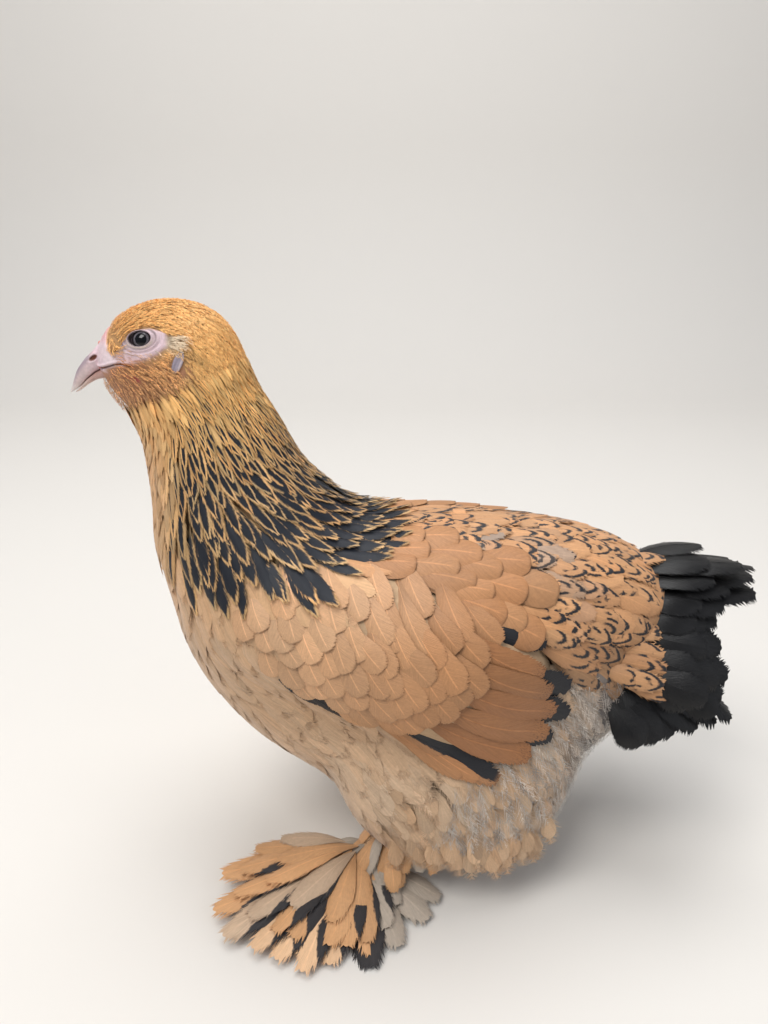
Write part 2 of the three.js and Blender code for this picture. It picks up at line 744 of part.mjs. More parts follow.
function makeFootFeathers(leg, side) {
  const from = leg.ankle.clone().setZ(FOOT_CORE.high);
  from.y += FOOT_CORE.out * side;
  const core = ellipsoid(from, FOOT_CORE.size, FACETS.footCore).subtract(legGrown(leg, side));
  const feathers = FOOT_ROWS.flatMap((row) =>
    spread(row.count, (share) => {
      const way = heading(leg, side, lerp(row.from, row.to, share));
      const shorter = FOOT_RAGGED.most * Math.sin(share * FOOT_RAGGED.turns) ** 2;
      const long = lerp(row.long[0], row.long[1], share) * (1 - shorter);
      const points = [FOOT_ROOTED, ...PETAL.at, 1].map((t) =>
        from.clone().addScaledVector(way, long * t).setZ(lerp(row.start, row.end, t * t)),
      );
      return blade(points, points.map(() => V(0, 0, 1)), PETAL, row.half, side * BLADE.roll);
    }),
  );
  return largest(joined([core, ...feathers]));
}

// The bird

const bird = new THREE.Group();

const finish = (color, roughness) => new THREE.MeshStandardMaterial({ color, roughness, metalness: 0 });
const BUFF = finish(0xc98a4e, 0.75);
const PALE = finish(0xd8b48a, 0.85);
const GOLD = finish(0xc07a2c, 0.7);
const LACED = finish(0x3a2f2a, 0.6);
const BLACK = finish(0x16171c, 0.5);
const SKIN = finish(0xd9a79c, 0.55);
const HORN = finish(0xc9a79a, 0.4);
const DARK = finish(0x15161a, 0.1);
const SCALES = finish(0xc99c72, 0.6);

function put(name, solid, material) {
  const mesh = new THREE.Mesh(geometryOf(solid), material);
  mesh.name = name;
  bird.add(mesh);
}

put("torso", makeTorso(), BUFF);
put("neck", makeNeck(), LACED);
put("head", makeHead(), GOLD);
put("bill_upper", makeBillUpper(), HORN);
put("bill_lower", makeBillLower(), HORN);
put("comb", makeComb(), SKIN);
put("tail", makeTail(), BLACK);

for (const [word, side] of Object.entries(SIDES)) {
  const leg = LEGS[word];
  put(`thigh_${word}`, makeThigh(side), PALE);
  put(`wing_${word}`, makeWing(side), BUFF);
  put(`eye_${word}`, eyeball(side), DARK);
  put(`ear_lobe_${word}`, makeLobe(side), SKIN);
  put(`shank_${word}`, makeShank(leg), SCALES);
  put(`foot_${word}`, makeFoot(leg, side), SCALES);
  put(`foot_feathers_${word}`, makeFootFeathers(leg, side), PALE);
  for (const toe of TOES) put(`claw_${toe.name}_${word}`, makeClaw(leg, side, toe), HORN);
}

// The origin is the middle of the bird's box on the floor.
const box = new THREE.Box3().setFromObject(bird);
const middle = box.getCenter(V(0, 0, 0));
bird.position.set(-middle.x, -middle.y, 0);

export default bird;
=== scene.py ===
"""A life-size Brahma pullet, built feather by feather over a smooth skin.

All shapes are worked out in millimetres in the bird's own frame: it faces -X, its left side is
towards -Y, and the floor is z = 0. They are moved into the row frame, in metres, when a mesh is made.
"""

import math

import bpy
import numpy as np
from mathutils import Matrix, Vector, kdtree


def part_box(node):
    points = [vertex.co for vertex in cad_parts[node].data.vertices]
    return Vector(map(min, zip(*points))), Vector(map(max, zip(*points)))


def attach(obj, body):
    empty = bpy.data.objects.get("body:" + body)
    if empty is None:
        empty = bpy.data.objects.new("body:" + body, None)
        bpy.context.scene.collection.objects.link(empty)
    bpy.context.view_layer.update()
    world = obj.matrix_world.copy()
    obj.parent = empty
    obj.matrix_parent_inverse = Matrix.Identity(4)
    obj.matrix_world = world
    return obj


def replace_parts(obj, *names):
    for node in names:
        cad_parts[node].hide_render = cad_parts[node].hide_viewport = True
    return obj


bl_info = {
    "name": "Brahma pullet",
    "version": (1, 0, 0),
    "blender": (4, 5, 0),
    "location": "View3D > Sidebar > Pullet",
    "description": "Builds a still, life-size pullet with its plumage",
    "category": "Object",
}

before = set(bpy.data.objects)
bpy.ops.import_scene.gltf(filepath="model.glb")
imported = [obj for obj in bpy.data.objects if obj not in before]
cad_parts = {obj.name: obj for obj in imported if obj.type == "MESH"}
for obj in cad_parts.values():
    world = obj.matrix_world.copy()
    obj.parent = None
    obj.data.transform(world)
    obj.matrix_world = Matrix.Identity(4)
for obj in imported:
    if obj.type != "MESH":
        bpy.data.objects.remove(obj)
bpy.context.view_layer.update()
MM = 0.001

# The camera, in the bird's own frame: its place, how far down it looks, focal length and sensor
CAMERA_PLACE = (0, -434, 430)
CAMERA_DOWN = math.radians(23.5)
CAMERA_FOCAL = 27.04
CAMERA_SENSOR = 36

# Where the left eye lies in the bird's own frame, which ties that frame to the row's
EYE_X = -130.8
EYE_Z = 351

# The masses that make the outline of the bird with its coat on: centre, half sizes, pitch in degrees and
# whether there is one on each side
MASSES = [
    ("breast", (-62, 0, 186), (67, 67, 66), 0, False),
    ("keel", (-40, 0, 120), (88, 58, 50), -38, False),
    ("trunk", (24, 0, 165), (103, 79, 74), -3, False),
    ("belly", (52, 0, 90), (84, 74, 68), 0, False),
    ("cushion", (102, 0, 187), (80, 54, 44), -6, False),
    ("vent", (116, 0, 136), (54, 56, 53), 0, False),
    ("thigh", (44, 47, 74), (68, 40, 60), 0, True),
    ("cape", (-84, 0, 228), (53, 53, 50), 0, False),
    ("neck_low", (-96, 0, 272), (39, 36, 46), 0, False),
    ("neck_high", (-107, 0, 314), (28, 25, 44), 0, False),
    ("skull", (-121, 0, 344), (28, 15, 21), 0, False),
    ("face", (-141, 0, 336), (15, 9, 12), 0, False),
    ("jaw", (-130, 0, 321), (19, 10, 15), 0, False),
]
# How softly they join
BLEND = 9

# How deep the coat is, by height on the bird
DEPTH_HEIGHTS = (60, 120, 230, 285, 312, 330)
DEPTHS = (13, 9, 8, 4.5, 2.4, 1.2)

# The folded wing, seen from the side
WING = {"x": 8, "z": 180, "half": 96, "deep": 43, "pitch": math.radians(-20)}
# Its thickness in the middle and at the edge, its clearance from the body, and how square its outline is
WING_THICK = 11
WING_EDGE = 1.2
WING_CLEAR = 2.2
WING_POWER = 2.6

# The lie of the coat: at each place, which way the feathers run
FLOW = [
    ((-158, 0, 350), (1, 0, 0.6)),
    ((-135, 0, 366), (1, 0, 0.05)),
    ((-105, 0, 358), (0.8, 0, -0.9)),
    ((-146, 0, 318), (0.7, 0, -0.9)),
    ((-120, 0, 330), (0.75, 0, -0.7)),
    ((-135, 0, 290), (0.05, 0, -1)),
    ((-82, 0, 320), (0.4, 0, -1)),
    ((-100, 0, 280), (0.2, 0, -1)),
    ((-60, 0, 270), (0.75, 0, -0.8)),
    ((-138, 0, 230), (0.1, 0, -1)),
    ((-80, 60, 220), (0.45, 0, -1)),
    ((-40, 0, 245), (1, 0, -0.35)),
    ((-120, 0, 180), (0.35, 0, -1)),
    ((-80, 50, 150), (0.75, 0, -0.75)),
    ((-80, 0, 110), (0.9, 0, -0.55)),
    ((10, 0, 240), (1, 0, -0.1)),
    ((10, 80, 180), (0.95, 0, -0.4)),
    ((0, 75, 110), (0.8, 0, -0.65)),
    ((0, 0, 40), (1, 0, -0.3)),
    ((50, 80, 70), (0.3, 0, -1)),
    ((80, 0, 235), (1, 0, -0.15)),
    ((90, 60, 190), (0.95, 0, -0.45)),
    ((110, 55, 120), (0.6, 0, -0.9)),
    ((150, 0, 205), (1, 0, -0.25)),
    ((160, 0, 150), (0.6, 0, -0.8)),
    ((120, 0, 70), (0.5, 0, -0.9)),
]
# How fast each one's weight falls with distance, and how far off its fall begins, in square millimetres
FLOW_SHARPNESS = 3
FLOW_CORE = 60

# The bird's middle line from bill to tail, for the unwrap of the coat: x and z
SPINE = [(-180, 317), (-122, 338), (-106, 300), (-90, 250), (-50, 200), (20, 165), (100, 170), (250, 190)]
# Size of a feather's own patch in that unwrap, in shares of the map
PATCH = 0.003


def srgb(r, g, b):
    """A colour given as the eye sees it, from 0 to 255, as linear light."""
    c = np.array((r, g, b), float) / 255
    return np.where(c <= 0.04045, c / 12.92, ((c + 0.055) / 1.055) ** 2.4)


HEAD_GOLD = srgb(250, 194, 118)
GOLD = srgb(202, 162, 112)
FRONT_GOLD = srgb(206, 164, 122)
BREAST = srgb(194, 158, 122)
WING_TAN = srgb(174, 124, 82)
FLIGHT_TAN = srgb(160, 108, 66)
COVERT_PALE = srgb(208, 164, 124)
SADDLE_BUFF = srgb(198, 146, 100)
CREAM = srgb(206, 180, 152)
FLUFF_GREY = srgb(160, 150, 142)
HEM_BUFF = srgb(188, 154, 120)
EAR_CREAM = srgb(246, 224, 192)
CHEEK_FUZZ = srgb(214, 148, 96)
SMOKE = 0.4 * srgb(120, 112, 112)
INK = srgb(22, 22, 28)
WHITE = srgb(230, 220, 208)


def unit(v):
    return v / (np.linalg.norm(v, axis=-1, keepdims=True) + 1e-12)


def spun(a, b, angle):
    """Two values turned by an angle: a cos - b sin and a sin + b cos."""
    c, s = math.cos(angle), math.sin(angle)
    return a * c - b * s, a * s + b * c


def ramp(x, low, high):
    """0 below low, 1 above high, smooth between: 3 s^2 - 2 s^3."""
    s = np.clip((x - low) / (high - low), 0, 1)
    return s * s * (3 - 2 * s)


def all_masses():
    for _, at, size, pitch, paired in MASSES:
        yield np.array(at, float), np.array(size, float), math.radians(pitch)
        if paired:
            yield np.array((at[0], -at[1], at[2]), float), np.array(size, float), math.radians(pitch)


def body(p):
    """How far points lie outside the bird: a soft union of ellipsoids, m - k log(sum(exp((m - d) / k)))."""
    away = []
    for at, size, pitch in all_masses():
        d = p - at
        ahead, up = spun(d[..., 0], d[..., 2], -pitch)
        q = np.stack([ahead, d[..., 1], up], -1)
        near = np.linalg.norm(q / size, axis=-1)
        slope = np.linalg.norm(q / size**2, axis=-1) + 1e-9
        away.append(near * (near - 1) / slope)
    away = np.stack(away)
    least = away.min(0)
    return least - BLEND * np.log(np.exp((least - away) / BLEND).sum(0))


def wing_chart(p):
    """Where points lie on the folded wing, in shares of its half length and half depth."""
    along, beside = spun(p[..., 0] - WING["x"], p[..., 2] - WING["z"], -WING["pitch"])
    return along / WING["half"], beside / WING["deep"]


def wing_point(u, v):
    """x and z of a place on the wing's chart."""
    x, z = spun(u * WING["half"], v * WING["deep"], WING["pitch"])
    return WING["x"] + x, WING["z"] + z


def wing_share(u, v):
    return (np.abs(u) ** WING_POWER + np.abs(v) ** WING_POWER) ** (1 / WING_POWER)


def wing_swell(u, v):
    return WING_EDGE + (WING_THICK - WING_EDGE) * np.clip(1 - wing_share(u, v) ** 3, 0, 1)


def dressed(p):
    """The body with its folded wings on: the body's distance less the wing's thickness."""
    u, v = wing_chart(p)
    flank = np.clip(np.abs(p[..., 1]) / 40 - 0.3, 0, 1)
    near = np.clip((1.25 - wing_share(u, v)) / 0.25, 0, 1)
    return body(p) - near * flank * (WING_CLEAR + wing_swell(u, v))


def outward(p, field=body):
    """The direction in which a field grows, by central differences."""
    step = 0.4 * np.eye(3)
    return unit(np.stack([field(p + e) - field(p - e) for e in step], -1))


def settle(p, height, field=body, rounds=2):
    """Points moved square to a surface until they lie at that height over it."""
    for _ in range(rounds):
        p = p + outward(p, field) * (height - field(p))[..., None]
    return p


def flow(p):
    """The coat's lie, alike on both sides: a mean of the named directions, weighted by 1 / distance^n."""
    q = p.copy()
    q[..., 1] = np.abs(q[..., 1])
    total = 0
    for at, way in FLOW:
        weight = 1 / (((q - np.array(at, float)) ** 2).sum(-1) + FLOW_CORE) ** FLOW_SHARPNESS
        total = total + weight[..., None] * unit(np.array(way, float))
    return unit(total)


def coat_depth(p):
    return np.interp(p[..., 2], DEPTH_HEIGHTS, DEPTHS)


def frame_shift():
    """What takes the bird's own frame to the row's: the left eye's place in each."""
    low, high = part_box("eye_left")
    left = (np.array(low) + np.array(high)) / 2 / MM
    low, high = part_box("eye_right")
    right = (np.array(low) + np.array(high)) / 2 / MM
    return np.array([left[0] - EYE_X, (left[1] + right[1]) / 2, 0])


SHIFT = frame_shift()


def on_side(x, z, side, height, field=body):
    """Points over (x, z) on one side that lie at that height over a field."""
    p = np.stack([x, np.full_like(x, 60.0 * side), z], -1)
    for _ in range(24):
        p[..., 1] += 0.8 * side * (height - field(p))
    return p


def facing(faces, side):
    """Faces made for the left side, turned over where they are used on the right."""
    return faces[:, ::-1] if side > 0 else faces


def unwrap(p):
    """The coat's unwrap: how far along the bird's middle line, and the angle round it."""
    spine = np.array(SPINE, float)
    span = np.diff(spine, axis=0)
    length = np.linalg.norm(span, axis=1)
    run = np.concatenate([[0], np.cumsum(length)])
    best, along, round_it = np.full(len(p), 1e9), np.zeros(len(p)), np.zeros(len(p))
    for i, (a, d) in enumerate(zip(spine, span)):
        q = p[:, [0, 2]] - a
        t = np.clip(q @ d / length[i] ** 2, 0, 1)
        rest = q - t[:, None] * d
        far = np.linalg.norm(rest, axis=1)
        side = (rest @ np.array([d[1], -d[0]])) / length[i]
        closer = far < best
        best = np.where(closer, far, best)
        along = np.where(closer, run[i] + t * length[i], along)
        round_it = np.where(closer, np.arctan2(p[:, 1], side), round_it)
    return np.stack([0.02 + 0.96 * along / run[-1], 0.5 + 0.48 * round_it / math.pi], -1)


# Meshes from arrays


def link(name, mesh, material):
    """A new piece of the bird, which rides on its body."""
    obj = bpy.data.objects.new(name, mesh)
    bpy.context.scene.collection.objects.link(obj)
    mesh.materials.append(material)
    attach(obj, "root")
    return obj


def mesh_of(name, points, faces, sizes=None):
    """A smooth mesh from points in the bird's own frame, in millimetres.

    The faces are rows of one size, or one run of corners with the number of corners of each face."""
    mesh = bpy.data.meshes.new(name)
    points = (np.asarray(points) + SHIFT) * MM
    if sizes is None:
        sizes = np.full(len(faces), faces.shape[1])
    mesh.vertices.add(len(points))
    mesh.vertices.foreach_set("co", points.astype(np.float32).ravel())
    mesh.loops.add(faces.size)
    mesh.loops.foreach_set("vertex_index", faces.astype(np.int32).ravel())
    mesh.polygons.add(len(sizes))
    starts = np.concatenate([[0], np.cumsum(sizes)[:-1]])
    mesh.polygons.foreach_set("loop_start", starts.astype(np.int32))
    mesh.polygons.foreach_set("use_smooth", np.ones(len(sizes), bool))
    mesh.update(calc_edges=True)
    mesh.validate()
    return mesh


def points_of(mesh):
    """A mesh's vertices in the bird's own frame, in millimetres."""
    co = np.zeros(len(mesh.vertices) * 3, np.float32)
    mesh.vertices.foreach_get("co", co)
    return co.reshape(-1, 3) / MM - SHIFT


def give_uv(mesh, name, values):
    """A UV map from one value for each vertex."""
    layer = mesh.uv_layers.new(name=name)
    corners = np.zeros(len(mesh.loops), np.int32)
    mesh.loops.foreach_get("vertex_index", corners)
    layer.uv.foreach_set("vector", values[corners].astype(np.float32).ravel())


def give_colour(mesh, name, values):
    """A colour for each vertex, with its fourth value free for use as a strength."""
    layer = mesh.color_attributes.new(name=name, type="FLOAT_COLOR", domain="POINT")
    layer.data.foreach_set("color", values.astype(np.float32).ravel())


def grid_faces(rows, columns, closed=False):
    """Quads of a grid of points, row by row, the last column joined to the first where it is closed."""
    wide = columns if closed else columns - 1
    r, c = np.meshgrid(np.arange(rows - 1), np.arange(wide), indexing="ij")
    here, right = r * columns + c, r * columns + (c + 1) % columns
    return np.stack([here, right, right + columns, here + columns], -1).reshape(-1, 4)


# Feathers


class Feathers:
    """A set of feathers: the paths of their shafts, the directions beside and above them, their looks."""

    def __init__(self, path, normal, half, camber, tint, mark, seed):
        n = len(path)
        along = np.gradient(path, axis=1)
        self.path, self.seed = path, seed
        self.across = unit(np.cross(normal, along))
        self.above = unit(np.cross(along, self.across))
        each = (half, camber, mark)
        self.half, self.camber, self.mark = (np.broadcast_to(value, n).astype(float) for value in each)
        self.tint = np.broadcast_to(tint, (n, 3)).astype(float)

    def __len__(self):
        return len(self.path)

    def rolled(self, angle):
        """The same feathers turned about their shafts."""
        c, s = np.cos(angle)[:, None, None], np.sin(angle)[:, None, None]
        across = self.across * c + self.above * s
        self.above = self.above * c - self.across * s
        self.across = across
        return self

    def at(self, t, s, width, lift):
        """Points at t along and s across, -1 to 1: shaft + across s w + above (lift - camber s^2 w)."""
        last = self.path.shape[1] - 1
        f = np.clip(t, 0, 1) * last
        i = np.minimum(f.astype(int), last - 1)
        f = (f - i)[..., None]
        n = np.arange(len(self))[:, None]
        p0, p1 = self.path[n, np.maximum(i - 1, 0)], self.path[n, i]
        p2, p3 = self.path[n, i + 1], self.path[n, np.minimum(i + 2, last)]
        shaft = 0.5 * (2 * p1 + (p2 - p0) * f + (2 * p0 - 5 * p1 + 4 * p2 - p3) * f**2
                       + (3 * p1 - p0 - 3 * p2 + p3) * f**3)
        across = self.across[n, i] * (1 - f) + self.across[n, i + 1] * f
        above = self.above[n, i] * (1 - f) + self.above[n, i + 1] * f
        wide = (self.half[:, None] * width(np.clip(t, 0, 1)))[..., None]
        drop = self.camber[:, None, None] * (s**2)[..., None] * wide
        return shaft + across * s[..., None] * wide + above * (np.asarray(lift)[..., None] - drop)


def merged(sets):
    """Several sets of feathers as one."""
    one = sets[0]
    for name in ("path", "across", "above", "half", "camber", "tint", "mark", "seed"):
        setattr(one, name, np.concatenate([getattr(s, name) for s in sets]))
    return one


def rounded(widest=0.62, blunt=0.5):
    """A feather's half width by its share of length: sin(pi t^a)^b, widest at the given share."""
    power = math.log(0.5) / math.log(widest)
    return lambda t: np.sin(math.pi * np.clip(t, 0, 1) ** power) ** blunt


def grids(n, rows, columns):
    """The faces of n grids of points that follow one another, and which grid each point is part of."""
    faces = grid_faces(rows, columns)[None] + (np.arange(n) * rows * columns)[:, None, None]
    return faces.reshape(-1, 4), np.repeat(np.arange(n), rows * columns)


def webs(feathers, rows, columns, width, rng, inner=1.0, end=1.0, ragged=0.0):
    """Closed webs, each a grid: t = end sin(pi k / 2), s = inner (1 - (t / end)^6)^0.5 from edge to edge.

    The square root closes the web's tip where it stops short of the feather's; notches draw in its edges."""
    n = len(feathers)
    t = end * np.sin(np.linspace(0.02, math.pi / 2, rows))
    close = 1.0 if inner == 1 else closing(t, end)[:, None]
    s = np.linspace(-1, 1, columns)
    notch = rng.random((n, rows, 1)) ** 2 * (np.abs(s) > 0.9) * ragged
    ss = (s * inner * close * (1 - notch)).reshape(n, -1)
    tt = np.broadcast_to(t[None, :, None], (n, rows, columns)).reshape(n, -1)
    faces, owner = grids(n, rows, columns)
    return feathers.at(tt, ss, width, 0.0).reshape(-1, 3), faces, tt.ravel(), ss.ravel(), owner


def closing(t, end):
    """How a web narrows to its tip at share end: (1 - (t / end)^6)^0.5."""
    return np.sqrt(np.clip(1 - (np.clip(t, 0, 1) / end) ** 6, 0, 1))


def fringe(feathers, count, width, rng, start=0.0, first=0.0, reach=0.24, fray=0.4, ruffle=0.25, thick=0.9,
           end=1.0):
    """Loose barbs, each one triangle: its base lies on the web's edge and its point on the vane's outline.

    Barb j starts at share a, evenly from first to end, and ends at 1 - (1 - a)^2 / (reach + 1 - a)."""
    n = len(feathers)
    shape = (n, count)
    step = (end - first) / count
    a = first + (np.arange(count) + rng.random(shape)) * step * 0.97
    corners, ts, ss = [], [], []
    for side in (-1, 1):
        far_on = reach * np.clip(1 + 0.3 * rng.normal(size=shape), 0.2, 2)
        tip = 1 - (1 - a) ** 2 / (far_on + 1 - a)
        far = side * (1 - fray * rng.random(shape))
        lift = ruffle * rng.normal(size=shape)
        low, high = (a - thick * step, a + thick * step)[::side]
        t = np.clip(np.stack([low, high, tip], -1), 0, 1)
        t[..., :2] = np.minimum(t[..., :2], end * 0.995)
        base = start * side * closing(t[..., :2], end)
        s = np.concatenate([base, far[..., None]], -1).reshape(n, -1)
        rise = np.stack([0 * lift, 0 * lift, lift], -1).reshape(n, -1)
        t = t.reshape(n, -1)
        corners.append(feathers.at(t, s, width, rise))
        ts.append(t)
        ss.append(s)
    points = np.concatenate(corners, 1).reshape(-1, 3)
    t, s = np.concatenate(ts, 1).ravel(), np.concatenate(ss, 1).ravel()
    return points, np.arange(len(points)).reshape(-1, 3), t, s, np.repeat(np.arange(n), count * 6)


def shafts(feathers, rows, thick, end=0.93):
    """The shafts as low ridges: two sides that meet over the middle of the vane."""
    n = len(feathers)
    t = np.broadcast_to(np.linspace(0.02, end, rows)[None, :, None], (n, rows, 3))
    size = thick * (1 - 0.8 * t)
    rise, aside = (np.array(profile) * size for profile in ([0.05, 1, 0.05], [-0.7, 0, 0.7]))
    t = t.reshape(n, -1)
    middle = feathers.at(t, 0 * t, lambda x: x * 0, rise.reshape(n, -1))
    points = middle + feathers.across[:, :1] * aside.reshape(n, -1)[..., None]
    faces, owner = grids(n, rows, 3)
    return points.reshape(-1, 3), faces, t.ravel(), 0 * t.ravel(), owner


def coat_piece(name, feathers, parts, material, nodes=()):
    """One mesh of many feathers, with its own vane map, its tints, and the patches of the OFBake map."""
    points, _, ts, ss, owners = zip(*parts)
    starts = np.cumsum([0] + [len(p) for p in points])
    loops = np.concatenate([(part[1] + start).ravel() for part, start in zip(parts, starts)])
    sizes = np.concatenate([np.full(len(part[1]), part[1].shape[1]) for part in parts])
    mesh = mesh_of(name, np.concatenate(points), loops, sizes)
    owner = np.concatenate(owners)
    vane = np.stack([0.5 + 0.5 * np.concatenate(ss), np.concatenate(ts)], -1)
    give_uv(mesh, "Vane", vane)
    give_uv(mesh, "OFBake", unwrap(feathers.path[:, 0])[owner] + PATCH * (vane - 0.5))
    give_colour(mesh, "Tint", np.column_stack([feathers.tint[owner], feathers.mark[owner]]))
    seed = mesh.attributes.new("Seed", "FLOAT", "POINT")
    seed.data.foreach_set("value", feathers.seed[owner].astype(np.float32))
    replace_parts(link(name, mesh, material), *nodes)


def lay(roots, long, half, heights, rng, tint, field=body, way=flow, turn=0.1, steps=5, camber=0.25,
        mark=0.0):
    """Feathers that follow a surface from their roots along the flow, at heights given from root to tip."""
    n = len(roots)
    step = (np.broadcast_to(long, n) / steps)[:, None]
    heights = np.stack([np.broadcast_to(h, n) for h in heights], -1)
    marks = np.linspace(0, 1, heights.shape[1])
    level = [np.array([np.interp(k / steps, marks, h) for h in heights]) for k in range(steps + 1)]
    swing = rng.normal(size=n) * turn
    p = settle(roots, level[0], field, 3)
    path, normals = [p], [outward(p, field)]
    for k in range(1, steps + 1):
        normal = normals[-1]
        run = way(p)
        run = unit(run - normal * (run * normal).sum(-1, keepdims=True))
        run = run * np.cos(swing)[:, None] + np.cross(normal, run) * np.sin(swing)[:, None]
        p = settle(p + run * step, level[k], field)
        path.append(p)
        normals.append(outward(p, field))
    return Feathers(np.stack(path, 1), np.stack(normals, 1), half, camber, tint, mark, rng.random(n))


def about(n, rng, spread):
    """n factors scattered about 1."""
    return 1 + spread * rng.normal(size=n)


def varied(colour, n, rng, spread=0.1):
    """n tints about a colour: each lighter or darker, and a little warmer or colder."""
    light = np.exp(rng.normal(size=(n, 1)) * spread)
    warm = np.exp(rng.normal(size=(n, 1)) * spread * 0.3 * np.array([1, 0, -1.0]))
    return np.broadcast_to(colour, (n, 3)) * light * warm


def layered(colour, *layers):
    """Colours laid one over another: each layer is a colour, or one for each place, and its share there."""
    for over, share in layers:
        colour = np.asarray(colour) * (1 - share[:, None]) + np.asarray(over) * share[:, None]
    return colour


# Roots: evenly scattered over the skin


def blue_noise(points, spacing, rng):
    """Picks points no two of which are closer than the spacing, by throwing darts in a random order."""
    order = rng.permutation(len(points))
    tree = kdtree.KDTree(len(points))
    for i, p in enumerate(points):
        tree.insert(p, i)
    tree.balance()
    free = np.ones(len(points), bool)
    kept = []
    for i in order:
        if free[i]:
            kept.append(i)
            for _, j, _ in tree.find_range(points[i], spacing[i]):
                free[j] = False
    return np.array(kept)


def sprinkle(count, rng):
    """Random points evenly spread over the skin by its triangles' areas, raised to the coat's outside."""
    skin = bpy.data.objects["skin"].data
    skin.calc_loop_triangles()
    corners = np.zeros(len(skin.loop_triangles) * 3, np.int32)
    skin.loop_triangles.foreach_get("vertices", corners)
    p = points_of(skin)[corners.reshape(-1, 3)]
    area = np.linalg.norm(np.cross(p[:, 1] - p[:, 0], p[:, 2] - p[:, 0]), axis=1)
    pick = rng.choice(len(p), count, p=area / area.sum())
    a, b = rng.random((2, count, 1))
    a, b = np.where(a + b > 1, 1 - a, a), np.where(a + b > 1, 1 - b, b)
    q = p[pick]
    spots = q[:, 0] + a * (q[:, 1] - q[:, 0]) + b * (q[:, 2] - q[:, 0])
    return spots + outward(spots) * coat_depth(spots)[:, None]


# Shader maths


def operation(kind, swapped=False):
    """A Math node as a method of a socket; swapped puts the socket last."""
    def method(self, *others):
        row = (*others, self) if swapped else (self, *others)
        return self.shade.node("ShaderNodeMath", dict(enumerate(row)), operation=kind)[0]

    return method


class Value:
    """A shader socket that can be used in plain arithmetic."""

    def __init__(self, shade, socket):
        self.shade, self.socket = shade, socket

    __add__ = __radd__ = operation("ADD")
    __mul__ = __rmul__ = operation("MULTIPLY")
    __sub__ = operation("SUBTRACT")
    __rsub__ = operation("SUBTRACT", swapped=True)
    __truediv__ = operation("DIVIDE")
    __pow__ = operation("POWER")
    absolute = operation("ABSOLUTE")
    sine = operation("SINE")
    least = operation("MINIMUM")
    most = operation("MAXIMUM")

    def ramp(self, low, high):
        """0 below low, 1 above high, smooth between."""
        sockets = {"Value": self, "From Min": low, "From Max": high}
        return self.shade.node("ShaderNodeMapRange", sockets, interpolation_type="SMOOTHSTEP")[0]


class Shade:
    """A material being made: its node tree, its nodes, and the Principled shader they feed."""

    def __init__(self, name):
        self.material = bpy.data.materials.new(name)
        self.material.use_nodes = True
        self.tree = self.material.node_tree

    def feed(self, node, sockets):
        """Gives each of a node's sockets, by name or number, its value or its link."""
        for name, value in sockets.items():
            slot = node.inputs[name]
            if isinstance(value, Value):
                self.tree.links.new(value.socket, slot)
            elif slot.type == "RGBA":
                slot.default_value = (*value, 1)
            else:
                slot.default_value = tuple(value) if np.ndim(value) else value

    def node(self, kind, sockets=None, **settings):
        """A new node's outputs; its settings are set first, and then what its sockets take."""
        node = self.tree.nodes.new(kind)
        for name, value in settings.items():
            setattr(node, name, value)
        self.feed(node, sockets or {})
        return [Value(self, out) for out in node.outputs]

    def finished(self, sockets):
        """The material, once its Principled shader has its values and links."""
        self.feed(self.tree.nodes["Principled BSDF"], sockets)
        return self.material

    def attribute(self, name):
        """An attribute as colour, vector, plain value and alpha."""
        return self.node("ShaderNodeAttribute", attribute_name=name)

    def parts(self, vector):
        return self.node("ShaderNodeSeparateXYZ", {"Vector": vector})

    def place(self):
        """Object coordinates."""
        names = ("generated", "normal", "uv", "object")
        return self.node("ShaderNodeTexCoord")[names.index("object")]

    def noise(self, vector, scale, detail=3.0, rough=0.55):
        sockets = {"Vector": vector, "Scale": scale, "Detail": detail, "Roughness": rough}
        return self.node("ShaderNodeTexNoise", sockets)[0]

    def vector(self, x, y, z):
        return self.node("ShaderNodeCombineXYZ", {"X": x, "Y": y, "Z": z})[0]

    def mix(self, share, a, b):
        """A colour between a and b."""
        return self.node("ShaderNodeMix", {0: share, 6: a, 7: b}, data_type="RGBA")[2]

    def scaled(self, colour, factor):
        """A colour made lighter or darker by a value."""
        return self.node("ShaderNodeVectorMath", {0: colour, "Scale": factor}, operation="SCALE")[0]

    def bump(self, height, strength, distance):
        sockets = {"Height": height, "Strength": strength, "Distance": distance}
        return self.node("ShaderNodeBump", sockets)[0]


class Vane:
    """What a pattern may use: shares across (s, or signed) and along (t), mark, seed, barb and grain."""

    def __init__(self, shade, slant, fine):
        u, self.t, _ = shade.parts(shade.node("ShaderNodeUVMap", uv_map="Vane")[0])
        self.signed = (u - 0.5) * 2
        self.s = self.signed.absolute()
        self.tint, _, _, self.mark = shade.attribute("Tint")
        self.seed = shade.attribute("Seed")[2]
        run = self.t - self.s * slant
        own = self.seed * 31
        self.barb = shade.noise(shade.vector(run * fine, self.s * 1.5, own), 1.0, 3, 0.65)
        self.grain = shade.noise(shade.vector(self.s * 3 + self.seed * 17, self.t * 14, own), 2.0, 3)


